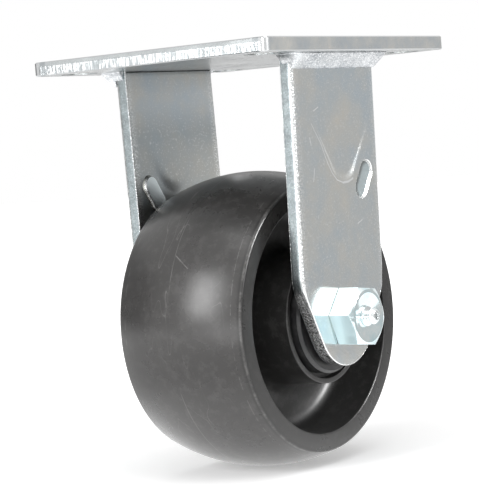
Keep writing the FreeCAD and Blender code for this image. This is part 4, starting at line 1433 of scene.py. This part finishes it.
@dataclass
class WeldBead:
    """A fillet weld that runs across the leg's outer face and wraps round both of its edges."""

    seed: int
    side: int
    root_along: float = 37.05
    half_run: float = 24.3
    wrap: float = 3.66
    reach: float = 5.3
    drop: float = 4.9
    plate_under: float = -4.76
    sink: float = 0.25
    end_share: float = 0.15
    side_share: float = 0.60
    side_bow: float = -0.55
    face_bow: float = 0.22
    ripple_pitch: float = 2.1
    ripple_height: float = 0.04
    lump_height: float = 0.05
    grain_height: float = 0.03
    step: float = 0.28
    across_steps: int = 14

    def stations(self) -> list[tuple[float, float, float, float, float]]:
        """Walks along the weld's root.

        Returns:
            A station for each step: across, along, outward angle, size and length walked.
        """
        made = []
        walked = 0.0
        middle = self.reach * 0.45
        low, side = self.end_share, self.side_share
        half, back = self.half_run, -self.wrap
        paths = (((half, back), -80.0, 80.0, 0.0, low, side), ((half, back), 0.0, 0.0, self.wrap, side, side),
                 ((half, 0.0), 0.0, 90.0, 0.0, side, 1.0), ((half, 0.0), 90.0, 0.0, 2 * half, 1.0, 1.0),
                 ((-half, 0.0), 90.0, 90.0, 0.0, 1.0, side),
                 ((-half, 0.0), 180.0, 0.0, self.wrap, side, side),
                 ((-half, back), 180.0, 80.0, 0.0, side, low))
        for (across, along), start, turn, run, size_from, size_to in paths:
            length = math.radians(turn) * middle + run
            count = max(3, int(length / self.step))
            heading = math.radians(start + 90)
            for k in range(count):
                t = k / count
                size = size_from + (size_to - size_from) * ease(t)
                made.append((across + math.cos(heading) * run * t, along + math.sin(heading) * run * t,
                             start + turn * t, size, walked + length * t))
            walked += length
        return made

    def build(self, material: bpy.types.Material) -> None:
        """Builds and dresses the bead.

        Args:
            material: The weld's material.
        """
        wander = random.Random(self.seed)
        shift = wander.uniform(0, 50)
        rows = []
        for across, along, angle, size, walked in self.stations():
            outward = (math.cos(math.radians(angle)), math.sin(math.radians(angle)))
            slow = noise.noise(Vector((walked * 0.11, shift, 0.0)))
            quick = noise.noise(Vector((walked * 0.55, shift, 4.0)))
            quick += 0.5 * noise.noise(Vector((walked * 1.4, shift, 9.0)))
            row = [(-self.sink, -self.drop * size * 0.92), (-self.sink, 0.02)]
            for k in range(self.across_steps + 1):
                t = k / self.across_steps
                reach = self.reach * size * (1 + 0.06 * slow)
                drop = self.drop * size * (1 - 0.06 * slow + 0.05 * quick)
                out, down = reach * (1 - t), drop * t
                bow = math.sin(t * math.pi)
                lag = walked / self.ripple_pitch - 0.42 * bow
                lag += 0.5 * noise.noise(Vector((walked * 0.3, 7.0, shift)))
                saw = lag - math.floor(lag)
                ripple = (0.5 - abs(saw - 0.62) * 1.1) * self.ripple_height * bow
                lumps = noise.noise(Vector((walked * 0.9, t * 2.6, shift))) * self.lump_height * bow
                lumps += noise.noise(Vector((walked * 2.3, t * 5.0, shift))) * self.grain_height * bow
                fullness = min(1.0, max(0.0, (size - self.side_share) / (1 - self.side_share)))
                rounding = self.side_bow + (self.face_bow - self.side_bow) * fullness
                swell = rounding * size * bow + (ripple + lumps) * size
                row.append((out + swell * 0.68, -(down + swell * 0.72)))
            points = []
            for out, down in row:
                x = across + outward[0] * out
                y = along + outward[1] * out
                points.append((-x * self.side, (self.root_along + y) * self.side,
                               self.plate_under + min(down, 0.02)))
            rows.append(points)
        piece = grid_mesh("weld_bead_" + ("far" if self.side > 0 else "near"), rows, close_rows=False,
                          close_columns=True, cap_ends=True)
        dress(piece, material)
        stand_for(piece, Body.FRAME, "plated_weld", "weld_far" if self.side > 0 else "weld_near")


@dataclass
class AxleBolt:
    """The axle bolt: a hexagon head with a dished face, a shank, and a threaded tip beyond the nut."""

    across_flats: float = 18.7
    turn: float = -7.4
    seat: float = -35.31
    front: float = -43.71
    face_radius: float = 8.9
    chamfer: float = 1.0
    dish_radius: float = 7.9
    dish_depth: float = 1.25
    shank_radius: float = 6.35
    nut_seat: float = 35.31
    tip: float = 48.31
    pitch: float = 1.95
    thread_depth: float = 0.75
    tip_chamfer: float = 1.1
    dish_floor: float = 3.0
    washer_inset: float = 0.25
    middle: float = 0.6
    segments: int = 144

    def outline(self) -> Outline:
        """The section from the middle of the dish to the middle of the tip.

        Returns:
            Points as (radius, along).
        """
        corner = self.across_flats / 2 / math.cos(math.radians(30))
        floor = self.front + self.dish_depth
        points = [(self.middle, floor), (self.dish_floor, floor)]
        for k in range(1, 15):
            t = k / 14
            points.append((self.dish_floor + (self.dish_radius - self.dish_floor) * t,
                           floor - self.dish_depth * t))
        points += [(self.dish_radius + 0.18, self.front), (self.face_radius - 0.2, self.front),
                   (self.face_radius, self.front + 0.04)]
        points += [(self.face_radius + (corner + 0.3 - self.face_radius) * k / 8,
                    self.front + 0.04 + (self.chamfer + 0.1) * k / 8) for k in range(1, 9)]
        points += [(corner + 0.3, self.seat - 0.14), (corner + 0.3, self.seat - 0.09),
                   (corner + 0.3, self.seat + 0.30), (self.shank_radius, self.seat + 0.30),
                   (self.shank_radius, self.nut_seat)]
        steps = int((self.tip - self.nut_seat) / 0.10)
        points += [(self.shank_radius, self.nut_seat + (self.tip - self.nut_seat) * k / steps)
                   for k in range(1, steps)]
        return points + [(self.shank_radius - self.tip_chamfer, self.tip), (self.middle, self.tip)]

    def ring(self, radius: float, along: float) -> list[Point]:
        """One ring of the bolt, cut to the hexagon on the head and to the thread on the tip.

        Args:
            radius: The section's radius.
            along: The place along the axle.

        Returns:
            The ring's points.
        """
        points = []
        for step in range(self.segments):
            angle = 360.0 * step / self.segments
            reach = radius
            if along < self.seat + 0.31 and radius > self.shank_radius + 0.01:
                within = (angle + 30.0) % 60.0 - 30.0
                reach = min(radius, self.across_flats / 2 / math.cos(math.radians(within)))
                reach -= self.washer_inset if along > self.seat - 0.10 else 0.0
            elif along > self.nut_seat:
                turn = along / self.pitch - angle / 360.0
                groove = 1 - abs(2 * (turn - math.floor(turn)) - 1)
                reach = min(radius, self.shank_radius - self.thread_depth * max(0.0, groove * 1.25 - 0.12))
                reach = min(reach, self.shank_radius - self.tip_chamfer + (self.tip - along))
            spot = math.radians(angle + self.turn + 30.0)
            points.append((reach * math.cos(spot), along, AXLE_HEIGHT + reach * math.sin(spot)))
        return points

    def build(self) -> None:
        """Builds and dresses the bolt."""
        rows = [self.ring(radius, along) for radius, along in self.outline()]
        piece = grid_mesh("axle_bolt_form", rows, close_rows=False, close_columns=True, cap_ends=True)
        piece.data.set_sharp_from_angle(angle=math.radians(11.0))
        dress(piece, BrightZinc("bolt_zinc", tinted=(0.62, 0.80, 0.84), facets=0.30).build())
        stand_for(piece, Body.FRAME, "zinc_plated_steel", "axle_bolt")


@dataclass
class GreaseFitting:
    """The grease fitting in the bolt's dish: a flange, a neck and a rounded head with a bored mouth."""

    outline: tuple[tuple[float, float], ...] = (
        (3.40, -42.60), (3.40, -43.18), (3.30, -43.38), (3.10, -43.46), (2.15, -43.50),
                        (1.96, -43.62), (1.90, -43.85), (1.90, -44.35), (2.00, -44.62), (2.35, -44.95),
                        (2.62, -45.22), (2.74, -45.50), (2.75, -45.70), (2.69, -45.95), (2.52, -46.22),
                        (2.24, -46.50), (1.90, -46.74), (1.55, -46.87), (1.20, -46.91), (0.92, -46.86),
                        (0.80, -46.72), (0.80, -46.45), (1.25, -46.15), (1.25, -38.00), (2.50, -37.80),
                        (2.50, -42.60))

    def build(self) -> None:
        """Builds and dresses the fitting."""
        piece = lathe("grease_fitting_form", self.outline, 0.0, 72)
        piece.data.set_sharp_from_angle(angle=math.radians(38.0))
        dress(piece, BrightZinc("fitting_zinc", tinted=(0.72, 0.78, 0.80), roughness=0.16).build())
        stand_for(piece, Body.FRAME, "zinc_plated_steel", "grease_fitting")


@dataclass
class Metalwork:
    """The plate, the nut, the bearing and the small plastic parts, whose solids are shown as they are."""

    fasteners: tuple[str, ...] = ("axle_nut",)
    bearing: tuple[str, ...] = ("spanner_bushing", "grease_ball", "grease_spring", "roller_1", "roller_2",
                                "roller_3", "roller_4", "roller_5", "roller_6", "roller_7", "roller_8")

    def build(self) -> None:
        """Dresses the solids."""
        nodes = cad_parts
        dress(nodes["top_plate"], ShearedPlate().build())
        bright = BrightZinc("fastener_zinc").build()
        for name in self.fasteners:
            dress(nodes[name], bright)
            soft_edges(nodes[name], 0.12)
        steel = BrightZinc("bearing_steel", plain=(0.62, 0.62, 0.61), tinted=(0.50, 0.50, 0.50),
                           roughness=0.2).build()
        for name in self.bearing:
            dress(nodes[name], steel)
        retainer = PlainPlastic("retainer_plastic", (0.018, 0.018, 0.019), (0.05, 0.05, 0.05)).build()
        for name in ("retainer_near", "retainer_far"):
            dress(nodes[name], retainer)
        cage = PlainPlastic("cage_plastic", (0.32, 0.30, 0.25), (0.42, 0.40, 0.34)).build()
        dress(nodes["bearing_cage"], cage)
        insert = PlainPlastic("insert_nylon", (0.55, 0.56, 0.55), (0.70, 0.70, 0.68)).build()
        dress(nodes["nut_insert"], insert)
        log.info("dressed %d solids", len(nodes))


def corners(box: tuple[Vector, Vector]) -> list[list[float]]:
    """A box as two plain lists of numbers."""
    return [list(box[0]), list(box[1])]


def main() -> None:
    """Builds the castor's pieces in order."""
    logging.basicConfig(level=logging.INFO, format="%(name)s: %(message)s")
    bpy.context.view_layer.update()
    bpy.context.scene.view_settings.view_transform = "Standard"
    Studio().build()
    Metalwork().build()
    MouldedWheel().build()
    AxleBolt().build()
    GreaseFitting().build()
    StampedLeg(side=-1).build()
    StampedLeg(side=1).build()
    weld = WeldMetal().build()
    WeldBead(seed=3, side=-1).build(weld)
    WeldBead(seed=8, side=1).build(weld)


if __name__ == "__main__":
    main()
